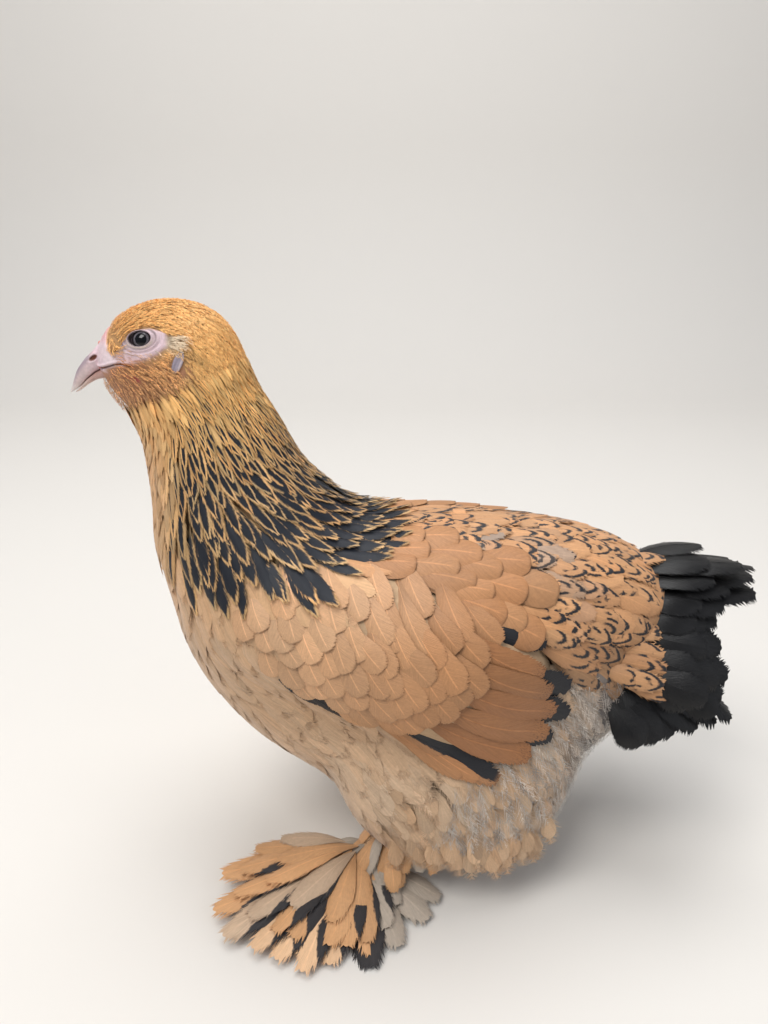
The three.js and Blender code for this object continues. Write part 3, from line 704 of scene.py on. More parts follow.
def feather_material(name, pattern, roughness=0.6, sheen=0.0, base=0.45, quill=0.0, rim=0.0, streak=0.5,
                     relief=0.4, slant=0.5, ink=INK, gloss=0.5, fine=60):
    """A feather's finish: its tint, streaked along its barbs, darker at its base, and its pattern of dark.

    pattern(shade, vane) gives how dark the feather is at each place of the vane."""
    shade = Shade(name)
    vane = Vane(shade, slant, fine)
    light = vane.barb * streak + vane.grain * 0.3 + (0.85 - 0.5 * streak)
    light = light * (1 - vane.t.ramp(0.45, 0.08) * (1 - base))
    if quill:
        light = light + vane.s.ramp(0.07, 0.02) * vane.t.ramp(0.97, 0.8) * quill
    # rim: the feather's edge darker, partly its own dusky brown and partly painted shade
    if rim:
        edge = vane.s.ramp(0.88, 0.99).most(vane.t.ramp(0.94, 0.99))
        light = light * (1 - edge * rim)
    ground = shade.scaled(vane.tint, light)
    dark = pattern(shade, vane)
    if dark is not None:
        ground = shade.mix(dark.least(1.0), ground, shade.scaled(ink, light))
    return shade.finished({
        "Base Color": ground, "Roughness": roughness, "Sheen Weight": sheen, "Specular IOR Level": gloss,
        "Normal": shade.bump(vane.barb, relief, BARB_RELIEF),
    })


# The height of the barbs' relief in metres
BARB_RELIEF = 0.0004


def plain(shade, vane):
    """No dark at all."""
    return None


def by_mark(shade, vane):
    """Dark all over where the feather's mark says so."""
    return vane.mark.ramp(0.2, 0.9)


def laced(shade, vane):
    """A dark heart with a light margin: dark where s / mark + tip < 1."""
    wander = (vane.grain - 0.5) * 0.5 + (vane.barb - 0.5) * 1.7
    tip = vane.t.ramp(0.72, 1.0)
    inside = vane.s / (vane.mark + 0.02) + wander + tip * 1.1
    return inside.ramp(1.12, 0.84) * vane.t.ramp(0.06, 0.2) * vane.mark.ramp(0.02, 0.08)


def pencilled(shade, vane):
    """Broken dark arcs about the tip: dark where (s^2 + (2.1 (t - 0.55))^2)^0.5 is near 0.42 or 0.76."""
    arc = (vane.s ** 2 + ((vane.t - 0.55).most(0.0) * 2.1) ** 2) ** 0.5
    arc = arc + (vane.grain - 0.5) * 0.16 + (vane.barb - 0.5) * 0.2
    inner = arc.ramp(0.3, 0.38) * arc.ramp(0.54, 0.46)
    outer = arc.ramp(0.64, 0.7) * arc.ramp(0.86, 0.8)
    where = shade.vector(vane.signed * 0.8 + vane.seed * 9, vane.t * 3, vane.seed * 57)
    broken = shade.noise(where, 1.3, 2)
    inner = inner * broken.ramp(0.45, 0.51)
    outer = outer * broken.ramp(0.57, 0.5)
    return inner.most(outer) * vane.mark.ramp(0.2, 0.6) * vane.t.ramp(0.5, 0.6)


def wing_pattern(shade, vane):
    """Dark peppering near marked tips, and a dark inner web or the whole feather on the fully marked."""
    where = shade.vector(vane.signed * 5 + vane.seed * 13, vane.t * 26, vane.seed * 7)
    pepper = shade.noise(where, 2.4, 3, 0.7).ramp(0.55, 0.6)
    pepper = pepper * vane.t.ramp(0.8, 0.99) * vane.mark.ramp(0.2, 0.5)
    left = shade.parts(shade.place())[1].ramp(0.001, -0.001) * 2 - 1
    inner = vane.signed * left
    wander = (vane.grain - 0.5) * 0.3 + (vane.barb - 0.5) * 0.3
    web = vane.mark.ramp(0.84, 0.88) * (inner + wander).ramp(-0.28, -0.2) * vane.t.ramp(0.99, 0.93)
    return pepper.most(web).most(vane.mark.ramp(0.94, 0.98))


def foot_pattern(shade, vane):
    """A dark lens on one side of the shaft, wider with the mark, and dark all through where fully marked.

    Dark where s + 1.9 mark sin(pi (t - 0.25) / 0.68) > 1.05, for t up to 0.93."""
    wander = (vane.grain - 0.5) * 0.3 + (vane.barb - 0.5) * 0.3
    along = ((vane.t - 0.25).most(0.0) * (math.pi / 0.68)).sine() * vane.t.ramp(0.95, 0.9)
    reach = vane.signed + wander + along * vane.mark * 1.9
    return (reach.ramp(1.0, 1.1) * vane.mark.ramp(0.1, 0.2)).most(vane.mark.ramp(0.9, 0.97))


# The skin


def build_skin(settings):
    """One skin for all the flesh: the masses joined into one surface, and sunk by the coat's depth."""
    ball, cells = round_grid(40, 56, 0.02)
    points, faces = [], []
    for k, (at, size, pitch) in enumerate(all_masses()):
        q = ball * (size + 1)
        x, z = spun(q[:, 0], q[:, 2], pitch)
        points.append(at + np.stack([x, q[:, 1], z], -1))
        faces.append(cells + k * len(ball))
    draft = bpy.data.objects.new("masses", mesh_of("masses", np.concatenate(points), np.concatenate(faces)))
    bpy.context.scene.collection.objects.link(draft)
    remesh = draft.modifiers.new("one surface", "REMESH")
    remesh.mode = "VOXEL"
    remesh.voxel_size = settings.skin_step
    graph = bpy.context.evaluated_depsgraph_get()
    mesh = bpy.data.meshes.new_from_object(draft.evaluated_get(graph))
    bpy.data.objects.remove(draft)
    p = settle(points_of(mesh), 0, rounds=4)
    p = settle(p, -coat_depth(p), rounds=3)
    mesh.vertices.foreach_set("co", ((p + SHIFT) * MM).astype(np.float32).ravel())
    mesh.polygons.foreach_set("use_smooth", np.ones(len(mesh.polygons), bool))
    mesh.name = "skin"
    obj = link("skin", mesh, skin_material())
    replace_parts(obj, "torso", "neck", "thigh_left", "thigh_right")


def skin_material():
    """Skin under the coat: the coat's own colour in shade, so that no gap in the feathers shows bare."""
    shade = Shade("Skin under the coat")
    where = shade.place()
    grain = shade.noise(where, 300.0)
    body_tone = shade.mix(grain, srgb(164, 134, 104), srgb(200, 168, 132))
    neck_tone = shade.mix(grain, srgb(110, 72, 38), srgb(176, 112, 54))
    high = shade.parts(where)[2].ramp(0.24, 0.29)
    return shade.finished({
        "Base Color": shade.mix(high, body_tone, neck_tone), "Roughness": 0.85,
        "Normal": shade.bump(grain, 0.4, 0.001),
    })


# The head: bare skin, eyes, bill, comb and lobes


def bump_at(x, centre, width):
    """A smooth bump: exp(-((x - centre) / width)^2)."""
    return np.exp(-(((x - centre) / width) ** 2))


def eye_frame(side):
    """The eye's place on the body's surface, and its own directions: forwards, upwards and outwards."""
    at = on_side(np.array([float(EYE_X)]), np.array([float(EYE_Z)]), side, 0)
    out = outward(at)[0]
    ahead = unit(np.array([-1.0, 0, 0]) + out * out[0])
    up = np.cross(out, ahead) * -side
    return at[0], ahead, up, out


def lid_distance(p):
    """How far from the eye's middle a point lies on its own side, 1 being the edge of the lids."""
    near = []
    for side in (-1, 1):
        at, ahead, up, out = eye_frame(side)
        q = p - at
        a, b = (q @ ahead) / LIDS[0], (q @ up) / LIDS[1]
        far = np.sqrt(a**2 + b**2 + np.clip(-(q @ out) - 6, 0, None) ** 2)
        near.append(np.where(p[..., 1] * side > 0, far, 99))
    return np.minimum(*near)


def bareness(p):
    """1 on the bare face and 0 in the feathers: between the brow's line and the cheek's."""
    x, z = p[..., 0], p[..., 2]
    high, low = np.interp(x, *BROW_LINE.T), np.interp(x, *CHEEK_LINE.T)
    return ramp(z, high + 0.7, high - 0.7) * ramp(z, low - 1.5, low + 1.5) * ramp(x, -114.5, -117.5)


def gape_height(x):
    """The height of the fold that carries the mouth's line back over the cheek."""
    return np.interp(x, *GAPE_LINE.T)


# Half sizes of the eye's opening, then by x and z the edge of the brow's feathers, of the cheek's, and the
# gape
LIDS = (6.5, 4.1)
BROW_LINE = np.array([
    (-153.5, 357), (-152, 347.5), (-149.5, 343.6), (-147.3, 342.8), (-145.4, 344), (-142.4, 346.8),
    (-139.9, 350), (-136.9, 353.2), (-133.6, 355), (-130, 355.8), (-125.6, 356.2), (-120.9, 355.4),
    (-116, 354),
])
CHEEK_LINE = np.array([
    (-158, 333), (-152.8, 334), (-148, 335.6), (-143.2, 336.4), (-135.6, 337.4), (-130.5, 339.5),
    (-125.8, 341.2), (-121, 343.4), (-117.5, 346.5),
])
GAPE_LINE = np.array([
    (-158, 332.8), (-152.8, 334.6), (-148, 336.3), (-143.2, 337.2), (-140.7, 336.9), (-134.3, 336),
])


def build_head(settings):
    """The head's skin: rays from its middle to the body's surface, raised by the lids and folds.

    About the eye, at lid distance e: -4 inside e = 0.9, +0.7 at 1.05, and rings of +-0.3 out to e = 2.4."""
    rows, columns = 240, 320
    a = math.pi * np.linspace(0.004, 1, rows)[:, None] ** 1.15
    a[-1] = math.pi - 0.004
    b = np.linspace(0, 2 * math.pi, columns, endpoint=False)
    way = np.stack(np.broadcast_arrays(-np.cos(a), np.sin(a) * np.sin(b), np.sin(a) * np.cos(b)), -1)
    near = np.zeros(way.shape[:2])
    far = np.full(way.shape[:2], 90.0)
    for _ in range(18):
        middle = (near + far) / 2
        p = HEAD_CENTRE + way * middle[..., None]
        below = 300 - p[..., 2] - 0.3 * (p[..., 0] + 118)
        inside = np.maximum(body(p), below) < 0
        near, far = np.where(inside, middle, near), np.where(inside, far, middle)
    p = (HEAD_CENTRE + way * near[..., None]).reshape(-1, 3)
    x, z = p[:, 0], p[:, 2]
    e = lid_distance(p)
    bare = bareness(p)
    rise = -coat_depth(p) * (1 - bare)
    rise += sum(high * bump_at(e, at, wide) for high, at, wide in LID_RINGS)
    rise = np.where(e < 1.02, -4 + 4.6 * ramp(e, 0.86, 1.02), rise)
    gape = ramp(x, -135, -141)
    over = z - gape_height(x)
    rise += gape * sum(high * bump_at(over, at, wide) for high, at, wide in GAPE_FOLDS)
    rise -= 0.9 * bump_at(np.hypot(x + 144, (z - 341) * 0.9), 0, 4)
    p = p + outward(p) * rise[:, None]
    bare_piece("head_skin", p, grid_faces(rows, columns, closed=True), face_tone(x, z, e, bare),
               bare_material("Bare face"), "head")
    for word, side in SIDES.items():
        build_eye(word, side)
        build_lobe(word, side)
    build_bill()
    build_comb()


def bare_piece(name, points, faces, tone, material, node):
    """A piece without feathers, with its own colours, in the place of one of the row's pieces."""
    mesh = mesh_of(name, points, faces)
    give_colour(mesh, "Skin", np.column_stack([tone, np.ones(len(points))]))
    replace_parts(link(name, mesh, material), node)


HEAD_CENTRE = np.array((-122.0, 0, 338))
# The folds along the gape: rise, height over its line, width
GAPE_FOLDS = [(0.7, 1.2, 0.8), (-1.3, 0, 0.55), (0.5, -1.6, 1.1)]
# The rings of skin about the eye: rise, lid distance, width
LID_RINGS = [(0.85, 1.08, 0.13), (-0.3, 1.36, 0.1), (0.45, 1.6, 0.13), (-0.25, 1.85, 0.1), (0.2, 2.08, 0.12)]
# The middle of the ear lobe by x and z, and which way its upper end leans
LOBE_X, LOBE_Z = -110.2, 339.2
LOBE_LEAN = np.array((0.45, 0, 1.0))
SIDES = {"left": -1, "right": 1}
FACE_PINK = srgb(222, 196, 202)
FACE_WHITE = srgb(236, 220, 222)
LID_GREY = srgb(150, 132, 134)
LID_CREAM = srgb(232, 214, 200)
# Painted shade at the lids' edge, where the skin turns in towards the eye
LID_EDGE_SHADE = srgb(58, 46, 46)
THROAT_RED = srgb(186, 84, 84)
CHEEK_PEACH = srgb(214, 150, 104)
COMB_PINK = srgb(214, 128, 120)
LILAC = srgb(150, 140, 152)
# The colour of the painted shadow that the brow's feathers cast
BROW_SHADE = srgb(104, 80, 82)
# The colour of painted shade in the gape's slit
GAPE_SLIT_SHADE = srgb(92, 60, 58)


def face_tone(x, z, e, bare):
    """The bare skin's colours: pink, paler about the eye, grey and dark at the lids, red below the gape."""
    brow = np.interp(x, *BROW_LINE.T) - z
    # corner: the painted shadow under the brow's feathers, before the eye
    corner = bump_at(brow, 0.4, 1.9) * ramp(x, -150, -147) * ramp(x, -135, -139)
    # The coat's colours darkened: painted shade on the skin that lies under the feathers
    coat_in_shade = layered(
        HEAD_GOLD * 0.55, (CHEEK_PEACH * 0.62, ramp(z, 342, 334)), (EAR_CREAM * 0.7, ear_patch(x + 3, z)),
    )
    behind = np.maximum(ramp(x, -157, -152), ramp(z, 333, 329.5))
    # slit: painted shade in the crease along the gape
    slit = bump_at(z - gape_height(x), 0, 0.55) * ramp(x, -137, -143)
    return layered(
        FACE_PINK,
        (FACE_WHITE, 0.7 * bump_at(np.hypot(x + 150, z - 340), 0, 7)),
        (LID_GREY, 0.35 * ramp(e, 2.4, 1.2)),
        (LID_CREAM, 0.95 * bump_at(e, 1.2, 0.1) * ramp(z, 352, 348)),
        # painted shade in the fold of skin outside the pale lid ring
        (LID_GREY * 0.7, 0.7 * bump_at(e, 1.43, 0.08)),
        (BROW_SHADE, 0.7 * corner),
        # painted shade at the lids' edge
        (LID_EDGE_SHADE, ramp(e, 1.1, 1.0)),
        (CHEEK_PEACH, 0.6 * ramp(z, 343, 335) * ramp(x, -148, -136)),
        (COMB_PINK, 0.5 * ramp(z, 345, 351) * ramp(x, -147, -152)),
        (coat_in_shade, 0.92 * (1 - bare) * behind),
        (THROAT_RED, 0.9 * np.clip(red_patch(x, z) * 1.2, 0, 1)),
        (GAPE_SLIT_SHADE, 0.85 * slit),
    )


def on_lobe(p):
    """How far a point lies from the middle of the lobe on its side, 1 being the lobe's edge."""
    return np.hypot((p[:, 0] - LOBE_X) / 2.6, (p[:, 2] - LOBE_Z) / 6.2)


def ear_patch(x, z):
    """Where the pale tuft over the ear grows: near 1 on an ellipse of 6 by 3.4 mm, and 0 well off it."""
    return np.clip(bump_at(np.hypot((x + 116) / 6, (z - 350) / 3.4), 0, 1) * 2.2 - 0.3, 0, 0.95)


def red_patch(x, z):
    """Where bare red skin shows through below the gape."""
    return bump_at(np.hypot((x + 136.6) / 4.2, (z - 329.7 + 0.25 * (x + 136.6)) / 1.5), 0, 1)


def bare_material(name, roughness=0.5, fine=1400.0, relief=0.5):
    """Bare skin: its own colours, mottled, finely wrinkled, and a little light going through it."""
    shade = Shade(name)
    place = shade.place()
    mottle = shade.noise(place, 420.0, 4)
    wrinkle = shade.noise(place, fine, 4, 0.6)
    return shade.finished({
        "Base Color": shade.scaled(shade.attribute("Skin")[0], mottle * 0.5 + wrinkle * 0.25 + 0.62),
        "Roughness": roughness, "Subsurface Weight": 0.08, "Subsurface Radius": (0.0008, 0.0005, 0.0004),
        "Normal": shade.bump(wrinkle, relief, 0.0006),
    })


def round_grid(rows, columns, pole=0.01):
    """Unit directions of a ball by angle from +Z (rows) and round it (columns), the poles nearly closed."""
    a = np.linspace(pole, math.pi - pole, rows)[:, None]
    b = np.linspace(0, 2 * math.pi, columns, endpoint=False)
    way = np.stack(np.broadcast_arrays(np.sin(a) * np.cos(b), np.sin(a) * np.sin(b), np.cos(a)), -1)
    return way.reshape(-1, 3), grid_faces(rows, columns, closed=True)


def build_eye(word, side):
    """An eyeball behind the lids, flattened at the back, with its map centred on the pupil."""
    at, ahead, up, out = eye_frame(side)
    way, faces = round_grid(40, 56)
    local = way * np.array((8.4, 7.0, 6.8))
    local[:, 2] = np.where(local[:, 2] > 0, local[:, 2], local[:, 2] * 0.6) - 6.2
    gaze = local[:, :2] - PUPIL
    local[:, 2] += 0.4 * bump_at(np.hypot(*gaze.T), 0, 3.4) * (way[:, 2] > 0)
    p = at + local[:, :1] * ahead + local[:, 1:2] * up + local[:, 2:] * out
    mesh = mesh_of(f"eyeball_{word}", p, facing(faces, side))
    give_uv(mesh, "Eye", gaze / EYE_MAP + 0.5)
    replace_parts(link(f"eyeball_{word}", mesh, eye_material()), f"eye_{word}")


def eye_material():
    """A wet eye: black pupil, grey-brown iris with fine rays, dark rim."""
    shade = Shade("Wet eye")
    u, v, _ = shade.parts(shade.node("ShaderNodeUVMap", uv_map="Eye")[0])
    a, b = u - 0.5, v - 0.5
    far = ((a ** 2 + b ** 2) ** 0.5) * EYE_MAP
    rays = shade.noise(shade.vector(a / (far + 0.05) * 120, b / (far + 0.05) * 120, far * 0.4), 1.2, 3)
    tone = shade.mix(rays, srgb(38, 33, 34), srgb(124, 118, 124))
    for low, high, colour in ((3.9, 4.7, (24, 20, 22)), (5.2, 5.9, (64, 54, 58)), (3.35, 3.1, (6, 6, 8))):
        tone = shade.mix(far.ramp(low, high), tone, srgb(*colour))
    return shade.finished({
        "Base Color": tone, "Roughness": 0.12, "Specular IOR Level": 0.1, "Coat Weight": 0.6,
        "Coat Roughness": 0.03,
    })


# The pupil's place before the eye's middle and over it, and how many millimetres the eye's map is wide
PUPIL = np.array((-0.9, 0.3))
EYE_MAP = 20


def bill_line(x, heights):
    """A height along the bill at x, from evenly spaced values, smoothed at its knots."""
    knots = np.linspace(BILL_BASE, BILL_TIP, len(heights))[::-1]
    near = ((-1.2, 0.25), (0, 0.5), (1.2, 0.25))
    return sum(np.interp(x + away, knots, heights[::-1]) * share for away, share in near)


BILL_BASE = -146
BILL_TIP = -180.5
CULMEN = [352, 351, 347, 341.5, 336.4, 330, 317.6]
MOUTH = [334.5, 333.4, 331.8, 329, 324.8, 319.4, 315.2]
CHIN = [327, 326, 325.6, 324.6, 321.6, 317.4, 315]
BILL_HALF = [8.5, 8, 7, 5.8, 4.4, 2.9, 1.0]


def build_bill():
    """Both halves of the bill: rings round a middle line, y = w |cos a|^0.8, z = middle + half sin a.

    w and the heights of culmen, mouth and chin follow the bill's profile; the nostril's slot has a lip."""
    rows, columns = 90, 72
    t = np.linspace(0, 1, rows)[:, None]
    a = np.linspace(0, 2 * math.pi, columns, endpoint=False)
    halves = (("upper", CULMEN, MOUTH, 1.0, 1.0), ("lower", MOUTH, CHIN, 0.94, 0.92))
    cells = grid_faces(rows, columns, closed=True)[:, ::-1]
    for word, top, low, share, end in halves:
        x = BILL_BASE + 3 + (BILL_TIP - BILL_BASE - 3) * t * end
        lip = -0.1 if word == "lower" else 0.0
        high, under = bill_line(x, top) - lip, bill_line(x, low)
        close = np.sqrt(np.clip(1 - t**14, 0, 1)) * np.clip(t * 60, 0, 1)
        wide = bill_line(x, BILL_HALF) * share * close
        half = (high - under) / 2 * close
        p = np.stack(np.broadcast_arrays(
            x, np.sign(np.cos(a)) * np.abs(np.cos(a)) ** 0.8 * wide, (high + under) / 2 + np.sin(a) * half,
        ), -1).reshape(-1, 3)
        if word == "upper":
            b = np.stack([p[:, 0] + 162.6, p[:, 2] - 337.6], -1) @ np.array([[0.87, -0.5], [0.5, 0.87]])
            slot = np.sqrt((b[:, 0] / 3.1) ** 2 + (b[:, 1] / 1.25) ** 2)
            depth = 0.45 * bump_at(slot, 1.5, 0.35) - 1.3 * ramp(slot, 1.1, 0.6)
            p[:, 1] += np.sign(p[:, 1]) * depth * ramp(np.abs(p[:, 1]), 1.5, 3)
        else:
            slot = np.full(len(p), 9.0)
        horn = bare_material(f"Horn {word}", 0.38, 900.0, 0.25)
        bare_piece(f"beak_{word}", p, cells, bill_tone(p, word, slot), horn, f"bill_{word}")


def bill_tone(p, word, slot):
    """The horn's colours: flesh pink at the base, a dusky ridge, and a pale tip."""
    x, z = p[:, 0], p[:, 2]
    if word == "lower":
        return layered(srgb(184, 148, 138), (srgb(206, 184, 174), ramp(x, -164, -172)))
    culmen, mouth = bill_line(x, CULMEN), bill_line(x, MOUTH)
    middle = ramp(x, -162, -168) * ramp(x, -180, -174)
    return layered(
        FACE_PINK,
        (srgb(214, 192, 190), ramp(x, -160, -172)),
        (srgb(128, 112, 130), 0.7 * ramp(z, culmen - 6, culmen - 1) * middle),
        (srgb(236, 226, 220), 0.8 * ramp(z, 324, 318)),
        # Painted shade along the mouth's line, in the gap between the bill's halves
        (srgb(140, 92, 84), 0.6 * ramp(z, mouth + 1.4, mouth + 0.2) * ramp(x, -174, -168)),
        # Painted shade in the sunk slot of the nostril
        (srgb(112, 62, 44), ramp(slot, 1.15, 0.8)),
    )


def build_comb():
    """A small pea comb: a strip from the forehead to the bill's root with three rows of low bumps.

    Height: 2.2 times the highest of the bumps' bells, over a saddle that falls by y^2 / 8 to each side."""
    rows, columns = 70, 44
    c = np.linspace(-0.12, 1.12, rows)[:, None]
    y = np.linspace(-6, 6, columns)[None]
    x = -148 - 12.5 * c
    base = 355 - 10 * c - 3 * c**2 - y**2 / 8
    high = np.zeros(np.broadcast_shapes(c.shape, y.shape))
    for row, count, size in ((-3.3, 4, 0.85), (0, 5, 1.15), (3.3, 4, 0.85)):
        for k in range(count):
            at = (k + 0.4) / count
            high = np.maximum(high, size * bump_at(np.hypot((c - at) * 13, y - row), 0, 1.5))
    edge = ramp(np.abs(y), 6, 4.6) * ramp(c, -0.12, 0.02) * ramp(c, 1.12, 0.98)
    rise = 2.0 * high - 2.5 * (1 - edge)
    p = np.stack(np.broadcast_arrays(x - 0.55 * rise, y, base + 0.8 * rise), -1).reshape(-1, 3)
    under = p - np.array((-0.5, 0, 0.8)) * 3.5
    # Painted highlight: the comb paler where its bumps stand highest
    tone = layered(COMB_PINK, (srgb(236, 168, 150), np.clip(high, 0, 1).ravel() * 0.6))
    bare_piece("pea_comb", np.concatenate([p, under]), sheet_faces(rows, columns), np.tile(tone, (2, 1)),
               bare_material("Comb", 0.42, 1100.0, 0.4), "comb")


def sheet_faces(rows, columns):
    """The faces of a thick sheet whose lower points follow its upper ones: both sides and the rim."""
    top, n = grid_faces(rows, columns), rows * columns
    rim = np.concatenate([
        np.arange(columns - 1), np.arange(columns - 1, n - 1, columns),
        np.arange(n - 1, n - columns, -1), np.arange(n - columns, 0, -columns),
    ])
    after = np.roll(rim, -1)
    return np.concatenate([top, top[:, ::-1] + n, np.stack([after, rim, rim + n, after + n], -1)])


def build_lobe(word, side):
    """An ear lobe: a flat drop, 5 by 12 mm, sunk among the cheek's feathers and creased down its middle."""
    way, faces = round_grid(30, 40)
    at = on_side(np.array([LOBE_X]), np.array([LOBE_Z]), side, -0.55)[0]
    out = outward(at[None])[0]
    up = unit(LOBE_LEAN - out * (LOBE_LEAN @ out))
    ahead = np.cross(up, out) * side
    local = way * np.array((2.6, 1.3, 6.2))
    local[:, 1] -= 0.5 * bump_at(way[:, 0], 0.1, 0.22) * (way[:, 1] > 0)
    p = at + local[:, :1] * ahead + local[:, 1:2] * out + local[:, 2:] * up
    tone = layered(LILAC, (FACE_WHITE, 0.7 * bump_at(way[:, 0], -0.7, 0.22)))
    bare_piece(f"lobe_{word}", p, facing(faces, side), tone, bare_material("Lobe", 0.5, 900.0, 0.4),
               f"ear_lobe_{word}")


# The coat, tract by tract


POOL = {}


def pool_of(settings):
    """The spots that all tracts pick their roots from, made once."""
    if "spots" not in POOL:
        POOL["spots"] = sprinkle(settings.spots, np.random.default_rng(settings.seed))
    return POOL["spots"]


def pick(settings, mask, spacing, seed):
    """Evenly spread roots where the mask holds; spacing is a number or a function of the place."""
    spots = pool_of(settings)
    spots = spots[mask(spots)]
    gaps = spacing(spots) if callable(spacing) else np.full(len(spots), float(spacing))
    rng = np.random.default_rng(settings.seed + seed)
    return spots[blue_noise(spots, gaps, rng)], rng


def on_wing(p, margin):
    u, v = wing_chart(p)
    return (wing_share(u, v) < margin) & (np.abs(p[:, 1]) > 35)


def on_head(p):
    """Above the line where the head's small feathers give way to the neck's."""
    return p[:, 2] > 326 + 0.45 * (p[:, 0] + 120)


# What the hackle's sizes depend on: heights from its lowest feathers to the nape
HACKLE_Z = (238, 262, 288, 312, 335)


def on_hackle(p):
    low = np.interp(p[:, 0], [-140, -110, -80, -60, -22], [246, 242, 240, 238, 236])
    return (p[:, 0] < -22) & (p[:, 2] > low) & ~on_head(p)


def on_saddle(p):
    return (p[:, 0] > -44) & (p[:, 2] > 184 - 0.12 * p[:, 0]) & (p[:, 0] < 168) & ~on_hackle(p)


def on_scapular(p):
    x = p[:, 0]
    return on_saddle(p) & (x < 58) & (x > -26) & (np.abs(p[:, 1]) > 20 + 0.35 * np.clip(x, -40, 60))


def on_scalp(p):
    """Where the head has hairs: off the lobe, the lids, the red skin, the bare face and the bill's root."""
    x, z = p[:, 0], p[:, 2]
    clear = (on_lobe(p) > 0.9) & (lid_distance(p) > 1.5) & (red_patch(x, z) < 0.6)
    clear &= (bareness(p) < 0.3 + 0.7 * ear_patch(x, z)) & (x > -152.6 - 6 * ramp(z, 331, 328))
    return on_head(p) & clear


def on_front(p):
    return ~on_head(p) & ~on_hackle(p) & ~on_saddle(p) & (p[:, 0] < 10 - 0.5 * (150 - p[:, 2]))


def on_fluff(p):
    return ~on_head(p) & ~on_hackle(p) & ~on_saddle(p) & ~on_front(p)


def build_head_coat(settings):
    """The short, hair-like feathers of scalp, cheeks and throat, and the pale tufts over the ears."""
    def spacing(p):
        return np.interp(p[:, 2], [310, 330, 350], [1.25, 1.1, 0.95])

    roots, rng = pick(settings, on_scalp, spacing, 1)
    run = head_flow(roots) * hair_length(roots)[:, None]
    ahead = [roots + run * share for share in HAIR_STEPS]
    clear = np.array([(lid_distance(p) > 1.25) & (on_lobe(p) > 0.75) for p in ahead])
    reach = (np.logical_and.accumulate(clear, 0) * np.diff((0, *HAIR_STEPS))[:, None]).sum(0)
    roots, reach = roots[reach > 0], reach[reach > 0]
    x, z = roots[:, 0], roots[:, 2]
    cheek = ramp(z, 347, 340) * ramp(x, -106, -114)
    long = hair_length(roots) * (1 - 0.15 * cheek) * reach
    ear = ear_patch(x, z)
    tint = layered(settings.head, (settings.gold, 0.7 * ramp(z, 345, 322)), (CHEEK_FUZZ, 0.5 * cheek),
                   (EAR_CREAM, ear))
    # Painted shadow: the hairs just below the ear's pale tuft are made darker
    shadow_below_ear_tuft = bump_at(np.hypot((x + 106) / 4, (z - 345.5) / 2.4), 0, 1)
    uneven = rng.normal(size=len(roots)) * (0.12 + 0.14 * cheek)
    tint = tint * (np.exp(uneven) * (1 - 0.5 * shadow_below_ear_tuft))[:, None]
    made = lay(roots, long, long * 0.15, [-1.0, 0.2, 0.8 + 0.8 * ear], rng, tint, way=head_flow, turn=0.12,
               steps=3, camber=0.2)
    material = feather_material("Head feathers", plain, roughness=0.5, sheen=0.1, base=0.5, streak=0.7)
    parts = [fringe(made, 7, rounded(0.6, 0.7), rng, reach=0.5, fray=0.9, ruffle=0.14, thick=0.5)]
    coat_piece("head_coat", made, parts, material)


# Shares of its length at which a hair may end before it meets the lids or the lobe
HAIR_STEPS = (0.3, 0.65, 1)


def hair_length(p):
    """Lengths of the head's hairs: longer towards the nape, and shorter about the lobe."""
    long = np.interp(p[:, 0], [-152, -140, -120, -100], [6, 8, 10, 12])
    return long * (0.7 + 0.3 * ramp(on_lobe(p), 1, 3))


def head_flow(p):
    """The coat's lie, bent round the eye: down in front of it, over the brow, and back to the ear."""
    run = flow(p)
    for at, way, reach in HEAD_FLOW:
        share = np.exp(-(((p - np.array(at, float)) * np.array((1, 0, 1))) ** 2).sum(-1) / reach**2)[:, None]
        run = run * (1 - share) + unit(np.array(way, float)) * share
    return unit(run)


# Where the lie of the head's hairs differs from the coat's: place, direction, reach
HEAD_FLOW = [
    ((-130, 0, 358), (1, 0, 0.12), 9),
    ((-142, 0, 351), (1, 0, 1.1), 5),
    ((-149, 0, 347), (0.25, 0, -1), 5),
    ((-112, 0, 351), (1, 0, 0.05), 6),
    ((-148, 0, 330), (1, 0, -0.3), 8),
    ((-134, 0, 329), (1, 0, -0.3), 10),
    ((-118, 0, 341), (1, 0, -0.5), 6),
]


def build_fuzz(settings):
    """Short hairs scattered over the bare cheek and below the eye."""
    def mask(p):
        low = ramp(p[:, 2], 347, 337) * (bareness(p) > 0.2) * (lid_distance(p) > 1.9)
        low = low * ramp(p[:, 0], -148, -138)
        return (p[:, 0] > -157) & (low > np.random.default_rng(settings.seed).random(len(p)))

    roots, rng = pick(settings, mask, 1.3, 2)
    tint = varied(layered(CREAM, (CHEEK_FUZZ, ramp(roots[:, 2], 346, 338))), len(roots), rng, 0.2)
    made = lay(roots, 4.5, 0.35, [0, 0.4, 0.7], rng, tint, way=head_flow, turn=0.25, steps=2)
    parts = [fringe(made, 2, rounded(0.5, 0.8), rng, reach=0.7, fray=0.6, ruffle=0.15)]
    material = feather_material("Cheek hairs", plain, roughness=0.6, base=0.9)
    coat_piece("cheek_fuzz", made, parts, material)


